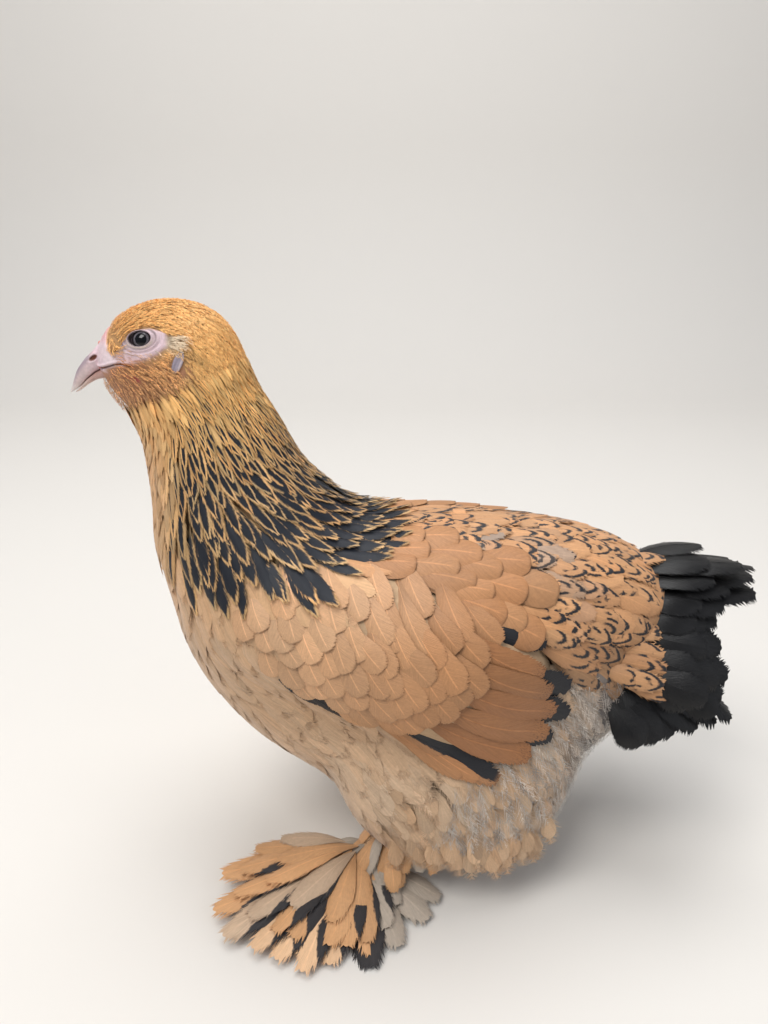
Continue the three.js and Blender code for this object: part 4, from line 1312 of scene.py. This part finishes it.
def build_hackle(settings):
    """The neck's feathers: fine and gold above, long, dark-hearted and gold-laced below."""
    def spacing(p):
        gap = np.interp(p[:, 2], HACKLE_Z, [8.0, 6.8, 4.6, 2.8, 1.9])
        return gap * (1 - 0.2 * ramp(p[:, 0], -118, -134))

    roots, rng = pick(settings, on_hackle, spacing, 3)
    n = len(roots)
    x, z = roots[:, 0], roots[:, 2]
    front = ramp(x, -116, -132)
    long = settings.hackle_length / MM * np.interp(z, HACKLE_Z, [1, 1, 0.76, 0.52, 0.33])
    long = long * (1 - 0.15 * front) * about(n, rng, 0.08)
    half = np.interp(z, HACKLE_Z, [6.6, 5.8, 4.0, 2.3, 1.3]) * about(n, rng, 0.08)
    mark = np.interp(z, [238, 262, 286, 306, 326, 340], [0.66, 0.6, 0.48, 0.34, 0.16, 0])
    mark = mark * about(n, rng, 0.12) * (rng.random(n) > 0.4 * ramp(z, 298, 335))
    mark = np.clip(mark * (1 - ramp(x, -108, -126) * ramp(z, 225, 250)), 0, 0.9)
    mark = np.where(ramp(x, -66, -46) > 0.5, 0.86, mark)
    nape = np.array(settings.head) * 0.85
    tint = layered(settings.gold, (FRONT_GOLD, front), (nape, 0.8 * ramp(z, 290, 330)))
    tint = varied(tint, n, rng, 0.15)
    u, v = wing_chart(roots + HACKLE_OVER_WING)
    over = 2.2 * ramp(wing_share(u, v), 1.15, 0.85) * (np.abs(roots[:, 1]) > 30)
    over = np.maximum(over, 3.2 * ramp(x, -70, -44))
    heights = [-0.6 * coat_depth(roots), 0.2, 1.2, 1.4 + over]
    made = lay(roots, long, half, heights, rng, tint, dressed, turn=0.08, steps=6, mark=mark)
    made.rolled(rng.normal(size=n) * 0.08)
    shape = rounded(0.55, 0.8)
    material = feather_material("Hackle", laced, roughness=0.5, base=0.6, quill=0.12, streak=0.8,
                                ink=srgb(24, 28, 37), gloss=0.35)
    parts = [
        webs(made, 9, 7, shape, rng, inner=0.74, end=0.94, ragged=0.04),
        fringe(made, 24, shape, rng, start=0.6, first=0.25, reach=0.16, fray=0.3, ruffle=0.22, end=0.94),
    ]
    coat_piece("hackle_coat", made, parts, material)


# From the roots of the hackle to where its tips lie over the wing
HACKLE_OVER_WING = np.array((6, 0, -34))


def build_front(settings):
    """The soft, rounded feathers of breast and keel."""
    roots, rng = pick(settings, lambda p: on_front(p) & ~on_wing(p, 0.85), 8.0, 4)
    n, z = len(roots), roots[:, 2]
    tint = varied(layered(
        settings.breast, (settings.cream, 0.8 * ramp(z, 170, 80)), (FRONT_GOLD, ramp(z, 200, 245)),
    ), n, rng, 0.05)
    long = settings.breast_length / MM * about(n, rng, 0.1)
    made = lay(roots, long, 11.5, [-0.6 * coat_depth(roots), -0.4, 0.3, 0.6], rng, tint, dressed, turn=0.09)
    made.rolled(rng.normal(size=n) * 0.04)
    shape = rounded(0.66, 0.5)
    material = feather_material("Breast feathers", plain, roughness=0.7, sheen=0.2, base=0.85, quill=0.06,
                                streak=0.7, slant=1.6, fine=6, relief=0.8)
    parts = [
        webs(made, 9, 7, shape, rng, inner=0.74, end=0.88, ragged=0.1),
        fringe(made, 56, shape, rng, first=0.1, reach=0.3, fray=0.4, ruffle=0.32, thick=0.6, end=0.97),
    ]
    coat_piece("front_coat", made, parts, material)


def build_saddle(settings):
    """The back and cushion: buff feathers with broken dark arcs."""
    def mask(p):
        return on_saddle(p) & ~on_scapular(p) & ~on_wing(p, 0.95)

    roots, rng = pick(settings, mask, 8.6, 5)
    n = len(roots)
    x, y, z = roots.T
    tint = varied(settings.saddle, n, rng, 0.09)
    # Painted shade: the back's feathers darker low down towards the rear
    tint = tint * (1 - 0.4 * ramp(z, 215, 165) * ramp(x, 40, 90))[:, None]
    down = sum(bump_at(np.hypot(x - at[0], y - at[1]), 0, 6.5) for at in DOWN_PATCHES)
    tint = layered(tint, (varied(srgb(158, 142, 128), n, rng, 0.1), np.clip(down * 1.2, 0, 0.8)))
    mark = ramp(x, -50, 20) * (rng.random(n) < 0.88) * (1 - np.clip(down, 0, 1))
    heights = [-0.6 * coat_depth(roots), -0.3, 0.7, 1.3]
    long = settings.saddle_length / MM * about(n, rng, 0.1)
    made = lay(roots, long, 9, heights, rng, tint, dressed, turn=0.12, mark=mark)
    made.rolled(rng.normal(size=n) * 0.07)
    coat_piece("saddle_coat", made, saddle_parts(made, rng), saddle_material())


# Where the grey down shows through the saddle, by x and y
DOWN_PATCHES = [(66, -28), (84, -44), (30, -22), (74, 40)]


def saddle_material():
    return feather_material("Saddle feathers", pencilled, roughness=0.55, sheen=0.1, base=0.7, quill=0.12,
                            streak=0.4)


def saddle_parts(made, rng):
    shape = rounded(0.66, 0.5)
    return [
        webs(made, 11, 7, shape, rng, inner=0.84, end=0.94, ragged=0.08),
        fringe(made, 30, shape, rng, start=0.72, first=0.3, reach=0.14, fray=0.35, ruffle=0.2, end=0.94),
    ]


def build_fluff(settings):
    """The loose, silky fluff of thighs, belly and vent, one piece for each side, and silver hairs on it."""
    soft = feather_material("Fluff", plain, roughness=0.8, sheen=0.3, base=0.9, streak=0.8, slant=1.6,
                            fine=5, relief=1.0)
    silver = feather_material("Silver down", plain, roughness=0.7, sheen=0.3, base=0.9, streak=0.3)
    shape = rounded(0.7, 0.55)
    for word, side in SIDES.items():
        def mask(p):
            return on_fluff(p) & (p[:, 1] * side > 0) & ~on_wing(p, 0.8)

        roots, rng = pick(settings, mask, 7.6, 6 + side)
        n = len(roots)
        x, z = roots[:, 0], roots[:, 2]
        rear = ramp(x, 76, 120)
        fleck = 0.8 * ramp(x, 84, 104) * ramp(z, 96, 112) * (rng.random(n) < 0.4)
        patchy = 0.5 + 0.5 * np.sin(x * 0.09 + z * 0.05) * np.sin(z * 0.11 - x * 0.04)
        tint = varied(layered(
            settings.cream, (FLUFF_GREY, 0.8 * rear), (HEM_BUFF, ramp(z, 130, 70) * (1 - 0.6 * rear)),
            (SMOKE, fleck), (settings.breast, 0.9 * patchy * (1 - rear)),
        ), n, rng, 0.09)
        long = np.interp(z, [30, 90, 180], [44, 48, 42]) * about(n, rng, 0.14)
        made = lay(roots, long, 11, [-0.6 * coat_depth(roots), -0.5, 0.6, 1.0], rng, tint, turn=0.12)
        made.rolled(rng.normal(size=n) * 0.04)
        made = merged([made, hem_feathers(side, rng)])
        parts = [
            webs(made, 8, 5, shape, rng, inner=0.6, end=0.78, ragged=0.25),
            fringe(made, 64, shape, rng, first=0.06, reach=0.5, fray=0.6, ruffle=0.5, thick=0.6, end=0.94),
        ]
        coat_piece(f"fluff_{word}", made, parts, soft)

        def flank(p):
            return mask(p) & (p[:, 0] > 40 - 0.3 * (120 - p[:, 2])) & (p[:, 2] < 165)

        roots, rng = pick(settings, flank, 5.0, 16 + side)
        n = len(roots)
        tint = varied(layered(WHITE, (FLUFF_GREY * 0.8, rng.random(n))), n, rng, 0.08)
        long = 32 * about(n, rng, 0.2)
        made = lay(roots, long, 5, [-2, 1.5, 3.2], rng, tint, turn=0.14, steps=4)
        parts = [fringe(made, 14, shape, rng, first=0.1, reach=0.7, fray=0.95, ruffle=0.35, thick=0.16)]
        coat_piece(f"down_{word}", made, parts, silver)


def hem_feathers(side, rng):
    """Soft feathers that hang free from the thigh's lower edge, in two ragged rows."""
    count = 26
    row = np.arange(count) % 2
    x = np.linspace(6, 96, count) + 2 * rng.normal(size=count)
    z = 66 + 8 * row + 2 * rng.normal(size=count)
    root = on_side(x, z, side, -3)
    long = 33 + 5 * bump_at(x, 62, 22) + 4 * row + 3 * rng.normal(size=count)
    way = unit(np.column_stack([0.16 + 0.1 * rng.normal(size=count), -0.05 * side + 0 * x, -1 + 0 * x]))
    t = np.linspace(0, 1, 6)
    path = root[:, None] + way[:, None] * (long[:, None] * t)[..., None]
    path[..., 1] += side * 3.5 * np.sin(math.pi * t * 0.7)
    tint = varied(layered(HEM_BUFF, (BREAST, rng.random(count))), count, rng, 0.1)
    return Feathers(path, unit(np.array((0.1, side, 0.1))), 10, 0.3, tint, 0, rng.random(count))


# Wings


def over_wing(root, tip, side, half, lift, tint, mark, rng, sag):
    """Feathers of the folded wing from roots to tips on its chart, lying over its swell."""
    n = len(root)
    t = np.linspace(0, 1, 8)
    u = root[:, :1] * (1 - t) + tip[:, :1] * t
    v = root[:, 1:] * (1 - t) + tip[:, 1:] * t - sag * np.sin(math.pi * t)
    over = lift[:, None] * np.interp(t, [0, 0.35, 1], [0, 0.4, 1]) + np.interp(t, [0, 0.35], [-2.5, 0])
    x, z = wing_point(u, v)
    path = on_side(x, z, side, WING_CLEAR + wing_swell(u, v) + over)
    made = Feathers(path, outward(path), half, 0.18, tint, mark, rng.random(n))
    return made.rolled(-side * (0.06 + 0.03 * rng.normal(size=n)))


# Flights and primaries of the folded wing on its chart: root, tip, half width in mm, lift, mark
UNDER_BLACK = [
    ((0.3, 0.95), (0.8, 0.84), 6.5, 0.4, 1.0),
    ((0.4, 0.5), (1.08, 0.3), 11, 0.5, 1.0),
    ((0.45, 0.1), (1.15, -0.1), 11, 0.6, 1.0),
    ((0.4, -0.3), (1.11, -0.48), 9, 0.4, 1.0),
    ((-0.75, -0.45), (-0.32, -0.97), 5, 0.8, 1.0),
    ((-0.6, -0.55), (-0.12, -1.04), 5, 0.7, 1.0),
]
PRIMARIES = [
    ((-0.1, -0.72), (0.62, -1.2), 7, 0.4, 0.0),
    ((-0.05, -0.68), (0.72, -1.16), 7.5, 0.8, 0.0),
    ((0.0, -0.66), (0.84, -1.1), 10, 1.2, 0.9),
]
FLIGHTS = [
    ((0.12, -0.32), (1.0, -0.72), 10.5, 1.9, 0.4),
    ((0.14, -0.05), (1.07, -0.4), 10.5, 2.2, 0.6),
    ((0.16, 0.28), (1.05, -0.06), 10.5, 2.5, 0.6),
    ((0.18, 0.6), (0.95, 0.24), 10.5, 2.8, 0.5),
    ((0.16, 0.85), (0.84, 0.5), 10, 3.0, 0.6),
]
# The lowest tips of the coverts on that chart
FRONT_LIMIT = (
    (-1.0, -0.95, -0.83, -0.61, -0.3, 0.04, 0.3, 0.5),
    (0.3, -0.05, -0.45, -0.78, -0.98, -1.04, -0.72, -0.2),
)


def covert_grid(rng):
    """Roots of the coverts on the wing's chart, in rows across their lie, and their tips."""
    step, row, lean = 11.0, 12.0, math.radians(-34)
    a, b = np.meshgrid(np.arange(-16, 17), np.arange(-16, 17), indexing="ij")
    x, y = spun(a * row, (b + 0.5 * (a % 2)) * step, lean)
    root = np.stack([x.ravel() / WING["half"], y.ravel() / WING["deep"]], -1)
    root += rng.normal(size=root.shape) * np.array((0.014, 0.03))
    turn = np.radians(np.interp(root[:, 0], [-1, 0, 0.5], [-54, -34, -22]) + 5 * rng.normal(size=len(root)))
    long = np.interp(root[:, 0], [-1, -0.3, 0.4], [22, 30, 38]) * about(len(root), rng, 0.06)
    tip = root + np.stack([np.cos(turn) * long / WING["half"], np.sin(turn) * long / WING["deep"]], -1)
    low = np.interp(tip[:, 0], *FRONT_LIMIT)
    keep = (tip[:, 1] > low) & (tip[:, 0] > -0.97) & (root[:, 0] > -1.06) & (root[:, 1] < 1.25)
    keep &= (tip[:, 0] < np.interp(tip[:, 1], [-0.5, 0, 0.7, 1.3], [0.36, 0.5, 0.56, 0.5]))
    x, z = wing_point(*root.T)
    keep &= (x > -22) | (z < np.interp(x, [-80, -22], [246, 240]))
    keep &= wing_share(*(root.T * np.array([[0.95], [0.8]]))) < 1.02
    return root[keep], tip[keep]


def build_wings(settings):
    """The folded wings: rows of coverts, flights below them, a dark-webbed primary, and dark tips beyond."""
    # rim: the wing feathers' edges darker, partly dusky brown and partly painted shade
    material = feather_material("Wing feathers", wing_pattern, roughness=0.55, base=0.75, quill=0.36,
                                rim=0.22, streak=0.6, slant=0.35, fine=40, relief=0.7)
    layers = ((UNDER_BLACK, settings.saddle), (PRIMARIES, settings.wing), (FLIGHTS, settings.flights))
    shape = rounded(0.7, 0.4)
    for word, side in SIDES.items():
        rng = np.random.default_rng(settings.seed + 30)
        sets = []
        for rows, colour in layers:
            root, tip, half, lift, mark = (np.array(column, float) for column in zip(*rows))
            tint = varied(colour, len(rows), rng, 0.05)
            sets.append(over_wing(root, tip, side, half, lift, tint, mark, rng, 0.06))
        root, tip = covert_grid(rng)
        n = len(root)
        half = np.interp(root[:, 0], [-1, 0.4], [7.6, 10]) * about(n, rng, 0.05)
        under_hackle = ramp(root[:, 1], 0.35, 0.9) * ramp(root[:, 0], 0.1, -0.25)
        lift = (2.6 + 0.2 * rng.normal(size=n)) * (1 - 0.8 * under_hackle)
        tint = varied(layered(COVERT_PALE, (settings.wing, ramp(root[:, 0], -0.9, 0.2))), n, rng, 0.06)
        sets.append(over_wing(root, tip, side, half, lift, tint, 0, rng, 0.03))
        every = merged(sets)
        parts = [
            webs(every, 14, 7, shape, rng, inner=0.97, end=0.98, ragged=0.06),
            fringe(every, 26, shape, rng, start=0.9, first=0.45, reach=0.05, fray=0.08, ruffle=0.16,
                   end=0.98),
            shafts(every, 8, 0.32),
        ]
        coat_piece(f"wing_coat_{word}", every, parts, material, (f"wing_{word}",))
        build_wing_bed(word, side)
    roots, rng = pick(settings, lambda p: on_scapular(p) & ~on_wing(p, 0.9), 12.0, 9)
    n = len(roots)
    long = 44 * about(n, rng, 0.08)
    tint = varied(settings.wing, n, rng, 0.06)
    made = lay(roots, long, 11.5, [-3, 0.5, 2.4, 3.0], rng, tint, dressed, turn=0.08)
    parts = [webs(made, 12, 7, rounded(0.7, 0.42), rng, ragged=0.05), shafts(made, 7, 0.3)]
    coat_piece("shoulder_coat", made, parts, material)


def build_wing_bed(word, side):
    """The wing's own body under its feathers: its chart's disc raised by the swell, less 1.2 mm."""
    rows, columns = 26, 64
    share = np.linspace(0.02, 1, rows)[:, None]
    angle = np.linspace(0, 2 * math.pi, columns, endpoint=False)
    u, v = (np.sign(way) * np.abs(way) ** (2 / WING_POWER) * share for way in (np.cos(angle), np.sin(angle)))
    x, z = wing_point(u * 0.97, v * 0.97)
    height = WING_CLEAR + wing_swell(u, v) - 1.2 - 5 * ramp(share, 0.93, 1)
    p = on_side(x.ravel(), z.ravel(), side, height.ravel())
    mesh = mesh_of(f"wing_bed_{word}", p, facing(grid_faces(rows, columns, closed=True), side))
    link(f"wing_bed_{word}", mesh, skin_material())


# Tail


# Fans of the tail: root at the top and on the side, tip at the top and on the side, half width, bow, count
# and how deep the notch in its outline is
TAIL_FANS = [
    ((158, 4, 190), (158, 30, 154), (236, 7, 199), (196, 62, 134), 13, 6, 8, 15),
    ((150, 4, 197), (154, 40, 160), (222, 8, 207), (194, 62, 142), 13, 6, 8, 15),
    ((146, 5, 202), (150, 44, 160), (204, 9, 213), (188, 64, 150), 12, 5, 7, 10),
    ((150, 26, 168), (136, 50, 140), (206, 56, 126), (154, 68, 119), 13, 4, 9, 0),
]
TAIL_COVERTS = [
    ((138, 4, 205), (136, 44, 156), (174, 8, 210), (178, 58, 150), 8, 4, 11, 0),
    ((126, 5, 214), (126, 50, 156), (162, 9, 213), (168, 62, 152), 8, 4, 12, 0),
]


def tail_fan(top, low, tip_top, tip_low, half, bow, count, dip, side, rng):
    """Feathers of one layer of the tail on one side, from the middle of the tent down to its edge."""
    share = (np.arange(count) / (count - 1) + 0.03 * rng.normal(size=count))[:, None]
    root, tip = ((np.array(a, float) * (1 - share) + np.array(b, float) * share) * np.array((1, side, 1))
                 for a, b in ((top, low), (tip_top, tip_low)))
    tip[:, 0] -= dip * bump_at(share[:, 0], 0.42, 0.16)
    tip[:, 0] += np.clip(rng.normal(size=count) * 6, -12, 3)
    lie = unit(np.column_stack([0 * share, (0.25 + 0.7 * share) * side, 0.95 - 0.65 * share]))[:, None]
    t = np.linspace(0, 1, 8)[:, None]
    path = root[:, None] * (1 - t) + tip[:, None] * t + lie * bow * np.sin(math.pi * t)
    tint = varied(SADDLE_BUFF, count, rng, 0.1)
    made = Feathers(path, lie, half, 0.25, tint, 1, rng.random(count))
    return made.rolled(side * (0.1 + 0.05 * rng.normal(size=count)))


def build_tail(settings):
    """The tail: broad black feathers in a tent, with buff, pencilled coverts over their roots."""
    rng = np.random.default_rng(settings.seed + 50)
    every = merged([tail_fan(*fan, side, rng) for fan in TAIL_FANS for side in SIDES.values()])
    material = feather_material("Tail", by_mark, roughness=0.36, base=0.7, streak=0.7, relief=0.7,
                                ink=srgb(15, 14, 15), gloss=0.35)
    shape = rounded(0.7, 0.42)
    parts = [
        webs(every, 20, 9, shape, rng, inner=0.93, end=0.97, ragged=0.06),
        fringe(every, 60, shape, rng, start=0.84, first=0.3, reach=0.06, fray=0.1, ruffle=0.35, end=0.97),
        shafts(every, 8, 0.45),
    ]
    coat_piece("tail_coat", every, parts, material, ("tail",))
    covers = merged([tail_fan(*fan, side, rng) for fan in TAIL_COVERTS for side in SIDES.values()])
    covers.tint *= 0.82
    coat_piece("tail_coverts", covers, saddle_parts(covers, rng), saddle_material())


# Feet


FEET = {
    "left": {"side": -1, "ankle": (-17, -58, 16), "hock": (26, -50, 66)},
    "right": {"side": 1, "ankle": (32, 62, 16), "hock": (52, 50, 66)},
}
# The big feathers of a foot: heading from straight ahead in degrees, length, half width, height of the
# tip, mark, tint, from the lowest to the topmost
FAN = [
    (158, 50, 11, 4, 0.0, "smoke"), (138, 56, 12, 4, 0.0, "smoke"), (119, 60, 12, 4, 0.0, "smoke"),
    (101, 70, 14, 2, 1.0, "ink"), (92, 60, 12, 4, 0.55, "buff"), (78, 66, 12, 4, 0.7, "white"),
    (66, 74, 12, 5, 0.6, "white"), (54, 80, 12, 6, 0.7, "white"), (42, 84, 12, 8, 0.6, "white"),
    (30, 92, 12, 9, 0.5, "grey"), (18, 98, 12, 10, 0.5, "buff"), (6, 92, 12, 12, 0.3, "buff"),
    (110, 46, 10, 9, 0.35, "smoke"), (97, 52, 10.5, 8, 0.3, "buff"), (84, 56, 10.5, 9, 0.55, "buff"),
    (70, 60, 11, 10, 0.2, "buff"), (58, 66, 11, 11, 0.75, "buff"), (45, 70, 11, 13, 0.55, "buff"),
    (33, 76, 11, 14, 0.4, "grey"), (20, 82, 11, 15, 0.2, "buff"), (8, 80, 11, 17, 0.45, "buff"),
    (-6, 70, 10, 18, 0.2, "buff"), (92, 42, 9, 14, 0.0, "buff"), (74, 46, 10, 15, 0.0, "buff"),
    (56, 50, 10, 17, 0.5, "buff"), (40, 54, 10, 19, 0.0, "grey"), (24, 58, 10, 21, 0.15, "buff"),
    (8, 56, 10, 23, 0.0, "buff"), (126, 38, 9, 11, 0.0, "smoke"), (-14, 48, 8, 22, 0.0, "grey"),
]
FAN_TINTS = {
    "buff": srgb(206, 156, 108), "grey": srgb(196, 168, 140), "white": srgb(222, 182, 142),
    "smoke": srgb(178, 164, 148), "ink": srgb(60, 50, 46),
}


def build_feet(settings):
    """The feathers on the outer side of each foot, in layers, over toes that keep their own pieces."""
    material = feather_material("Foot feathers", foot_pattern, roughness=0.6, sheen=0.15, base=0.75,
                                quill=0.15, streak=0.6, ink=srgb(34, 30, 32), relief=0.7)
    shape = rounded(0.68, 0.5)
    *sizes, tints = zip(*FAN)
    heading, long, half, fall, mark = np.array(sizes, float)
    t = np.linspace(0, 1, 7)
    for word, foot in FEET.items():
        rng = np.random.default_rng(settings.seed + 70)
        count, side = len(FAN), foot["side"]
        tint = np.array([FAN_TINTS[name] for name in tints]) * np.exp(0.06 * rng.normal(size=(count, 1)))
        way = heading_way(np.radians(heading + 3 * rng.normal(size=count)), side)
        beside = np.column_stack([-way[:, 1], way[:, 0], way[:, 2]])
        apart = rng.uniform(-4, 6, (count, 3)) * np.array((1, 0.6, 0))
        start = np.array(foot["ankle"], float) + way * 4 + apart
        top = 13 + 18 * np.arange(count) / count
        height = top[:, None] * (1 - t) ** 1.5 + fall[:, None] * t ** 0.8 + 5 * np.sin(math.pi * t)
        bend = rng.normal(size=count) * 3 + 2 * side
        path = start[:, None] + way[:, None] * (long[:, None] * t)[..., None]
        path = path + beside[:, None] * (bend[:, None] * (t**2 - t))[..., None]
        path[..., 2] = height
        made = Feathers(path, np.array((0, 0, 1.0)), half, 0.3, tint, mark, rng.random(count))
        made.rolled(rng.normal(size=count) * 0.16)
        every = merged([made, foot_tufts(foot, rng)])
        parts = [
            webs(every, 16, 9, shape, rng, inner=0.88, end=0.95, ragged=0.12),
            fringe(every, 60, shape, rng, start=0.76, first=0.2, reach=0.15, fray=0.35, ruffle=0.5,
                   end=0.95),
            shafts(every, 8, 0.35),
        ]
        coat_piece(f"foot_coat_{word}", every, parts, material, (f"foot_feathers_{word}",))


def heading_way(angle, side):
    """Level directions at angles from straight ahead towards one side."""
    return np.column_stack([-np.cos(angle), np.sin(angle) * side, 0 * angle])


def foot_tufts(foot, rng):
    """Short soft feathers from the shank down over the roots of the fan."""
    count = 34
    way = heading_way(np.radians(rng.uniform(-30, 170, count)), foot["side"])
    share = rng.random((count, 1))
    start = np.array(foot["ankle"], float) * (1 - share) + np.array(foot["hock"], float) * share + way * 6
    t = np.linspace(0, 1, 7)
    long = rng.uniform(20, 32, count)
    path = start[:, None] + way[:, None] * (long[:, None] * 0.8 * np.sin(t * 1.4))[..., None]
    path[..., 2] -= (start[:, 2] * 0.6)[:, None] * t**1.3
    lie = unit(way * 0.6 + np.array((0, 0, 0.8)))[:, None]
    tint = np.where((rng.random(count) < 0.3)[:, None], FAN_TINTS["smoke"], FAN_TINTS["buff"])
    tint = tint * np.exp(0.08 * rng.normal(size=(count, 1)))
    return Feathers(path, lie, 7, 0.3, tint, 0, rng.random(count))


TOES = ("middle", "inner", "outer", "hind")


def build_legs(settings):
    """The finish of shanks, toes and claws, which keep their own pieces: scaled skin and horn."""
    scales, claws = scale_material(), claw_material()
    for word in SIDES:
        for node in (f"shank_{word}", f"foot_{word}"):
            finish(node, scales)
        for toe in TOES:
            finish(f"claw_{toe}_{word}", claws)


def finish(node, material):
    """Gives one of the row's own pieces its material, without touching its mesh."""
    for place in bpy.data.objects[node].material_slots:
        place.link = "OBJECT"
        place.material = material


def scale_material():
    """Leg skin: yellowish pink, in plates about 3 mm wide with darker seams."""
    shade = Shade("Leg scales")
    place = shade.place()
    sockets = {"Vector": place, "Scale": 330.0}
    seam = shade.node("ShaderNodeTexVoronoi", sockets, feature="DISTANCE_TO_EDGE")[0].ramp(0.0, 0.16)
    grain = shade.noise(place, 900.0)
    skin = shade.mix(grain, srgb(196, 158, 116), srgb(222, 188, 150))
    return shade.finished({
        "Base Color": shade.mix(seam, srgb(150, 112, 84), skin), "Roughness": 0.5,
        "Normal": shade.bump(seam + grain * 0.2, 0.7, 0.0006),
    })


def claw_material():
    """Horn of the claws: pale and mottled."""
    shade = Shade("Claw horn")
    grain = shade.noise(shade.place(), 500.0, 4)
    return shade.finished({
        "Base Color": shade.mix(grain, srgb(170, 150, 132), srgb(226, 214, 200)), "Roughness": 0.35,
        "Normal": shade.bump(grain, 0.2, 0.0004),
    })


# Stage


def build_stage(settings):
    """A plain pale floor that rises into a backdrop, soft lights and the camera."""
    scene = bpy.context.scene
    mesh = bpy.data.meshes.new("floor")
    reach, rise, bend, back = 3.0, 2.4, 0.5, 1.1
    angle = np.linspace(0, math.pi / 2, 12)
    y = np.concatenate([[-reach], back + bend * np.sin(angle), [back + bend]])
    z = np.concatenate([[0], bend * (1 - np.cos(angle)), [rise]])
    points = [(a, b, c) for b, c in zip(y, z) for a in (-reach * 1.4, reach * 1.4)]
    mesh.from_pydata(points, [], grid_faces(len(y), 2).tolist())
    mesh.polygons.foreach_set("use_smooth", np.ones(len(mesh.polygons), bool))
    floor = bpy.data.objects.new("floor", mesh)
    scene.collection.objects.link(floor)
    pale = {"Base Color": srgb(226, 222, 216), "Roughness": 0.9}
    mesh.materials.append(Shade("Pale floor").finished(pale))
    for name, place, size, power, tint in LIGHTS:
        lamp = bpy.data.lights.new(name, "AREA")
        lamp.size, lamp.energy, lamp.color = size, power, tint
        obj = bpy.data.objects.new(name, lamp)
        obj.location = place
        x, y, z = np.array(LIT_PLACE) - np.array(place)
        obj.rotation_euler = (math.atan2(math.hypot(x, y), -z), 0, math.atan2(-x, y))
        scene.collection.objects.link(obj)
    scene.world = scene.world or bpy.data.worlds.new("World")
    scene.world.use_nodes = True
    sky = scene.world.node_tree.nodes["Background"].inputs
    sky["Color"].default_value = (0.85, 0.9, 1.0, 1)
    sky["Strength"].default_value = 0.3
    camera = bpy.data.cameras.new("camera")
    camera.lens = CAMERA_FOCAL
    camera.sensor_width = CAMERA_SENSOR
    camera.clip_start = 0.01
    obj = bpy.data.objects.new("camera", camera)
    obj.location = (np.array(CAMERA_PLACE, float) + SHIFT) * MM
    obj.rotation_euler = (math.pi / 2 - CAMERA_DOWN, 0, 0)
    scene.collection.objects.link(obj)
    scene.camera = obj
    scene.view_settings.view_transform = "Standard"


# Name, place in metres, size in metres, power in watts and colour of each light, and where they all point
LIGHTS = [
    ("key", (-0.8, -0.9, 1.9), 1.0, 26, (1.0, 0.98, 0.95)),
    ("fill", (1.4, -0.9, 1.0), 1.4, 5, (0.93, 0.96, 1.0)),
    ("top", (0.0, 0.3, 2.0), 1.2, 24, (1.0, 1.0, 1.0)),
]
LIT_PLACE = (0, 0, 0.18)


# The add-on


def length(name, default, words):
    """A length that a user may change."""
    return bpy.props.FloatProperty(name=name, description=words, default=default, min=0.001, precision=4,
                                   unit="LENGTH")


def paint(name, default, words):
    """A colour that a user may change."""
    return bpy.props.FloatVectorProperty(name=name, description=words, default=tuple(default), size=3,
                                         min=0, max=1, subtype="COLOR")


class PulletSettings(bpy.types.PropertyGroup):
    """What the builders of all pieces read."""

    seed: bpy.props.IntProperty(
        name="Seed", description="Which scatter of feathers is laid", default=11, min=0,
    )
    spots: bpy.props.IntProperty(
        name="Spots", description="How many places on the skin are offered to the feathers", default=260000,
        min=1000,
    )
    skin_step: length("Skin step", 0.003, "Size of the skin's facets")
    hackle_length: length("Hackle feather", 0.042, "Length of the neck's longest feathers")
    breast_length: length("Breast feather", 0.046, "Length of the breast's feathers")
    saddle_length: length("Saddle feather", 0.042, "Length of the back's feathers")
    head: paint("Head", HEAD_GOLD, "Colour of the head's hair-like feathers")
    gold: paint("Gold", GOLD, "Colour of the neck feathers' margins")
    breast: paint("Breast", BREAST, "Colour of breast and thigh")
    cream: paint("Cream", CREAM, "The palest colour of keel and thigh")
    wing: paint("Wing", WING_TAN, "Colour of the wing's coverts")
    flights: paint("Flights", FLIGHT_TAN, "Colour of the wing's long feathers")
    saddle: paint("Saddle", SADDLE_BUFF, "Ground colour of the back")


def operator(word, label, build):
    """An operator that runs one builder on the scene's settings."""
    def execute(self, context):
        build(context.scene.pullet)
        return {"FINISHED"}

    return type(f"PULLET_OT_{word}", (bpy.types.Operator,), {
        "bl_idname": f"pullet.{word}", "bl_label": label, "bl_options": {"REGISTER"},
        "execute": execute, "__doc__": build.__doc__,
    })


OPERATORS = [
    operator("skin", "Skin", build_skin),
    operator("head", "Head", build_head),
    operator("head_coat", "Head feathers", build_head_coat),
    operator("fuzz", "Cheek hairs", build_fuzz),
    operator("hackle", "Hackle", build_hackle),
    operator("front", "Breast feathers", build_front),
    operator("saddle", "Saddle", build_saddle),
    operator("fluff", "Fluff", build_fluff),
    operator("wings", "Wings", build_wings),
    operator("tail", "Tail", build_tail),
    operator("feet", "Foot feathers", build_feet),
    operator("legs", "Legs and claws", build_legs),
    operator("stage", "Stage", build_stage),
]


class PULLET_PT_panel(bpy.types.Panel):
    bl_label = "Pullet"
    bl_idname = "PULLET_PT_panel"
    bl_space_type = "VIEW_3D"
    bl_region_type = "UI"
    bl_category = "Pullet"

    def draw(self, context):
        for name in PulletSettings.__annotations__:
            self.layout.prop(context.scene.pullet, name)
        for made in OPERATORS:
            self.layout.operator(made.bl_idname)


CLASSES = [PulletSettings, *OPERATORS, PULLET_PT_panel]


def register():
    for made in CLASSES:
        bpy.utils.register_class(made)
    bpy.types.Scene.pullet = bpy.props.PointerProperty(type=PulletSettings)


def unregister():
    del bpy.types.Scene.pullet
    for made in reversed(CLASSES):
        bpy.utils.unregister_class(made)


def main():
    register()
    for made in OPERATORS:
        group, word = made.bl_idname.split(".")
        getattr(getattr(bpy.ops, group), word)()


if __name__ == "__main__":
    main()
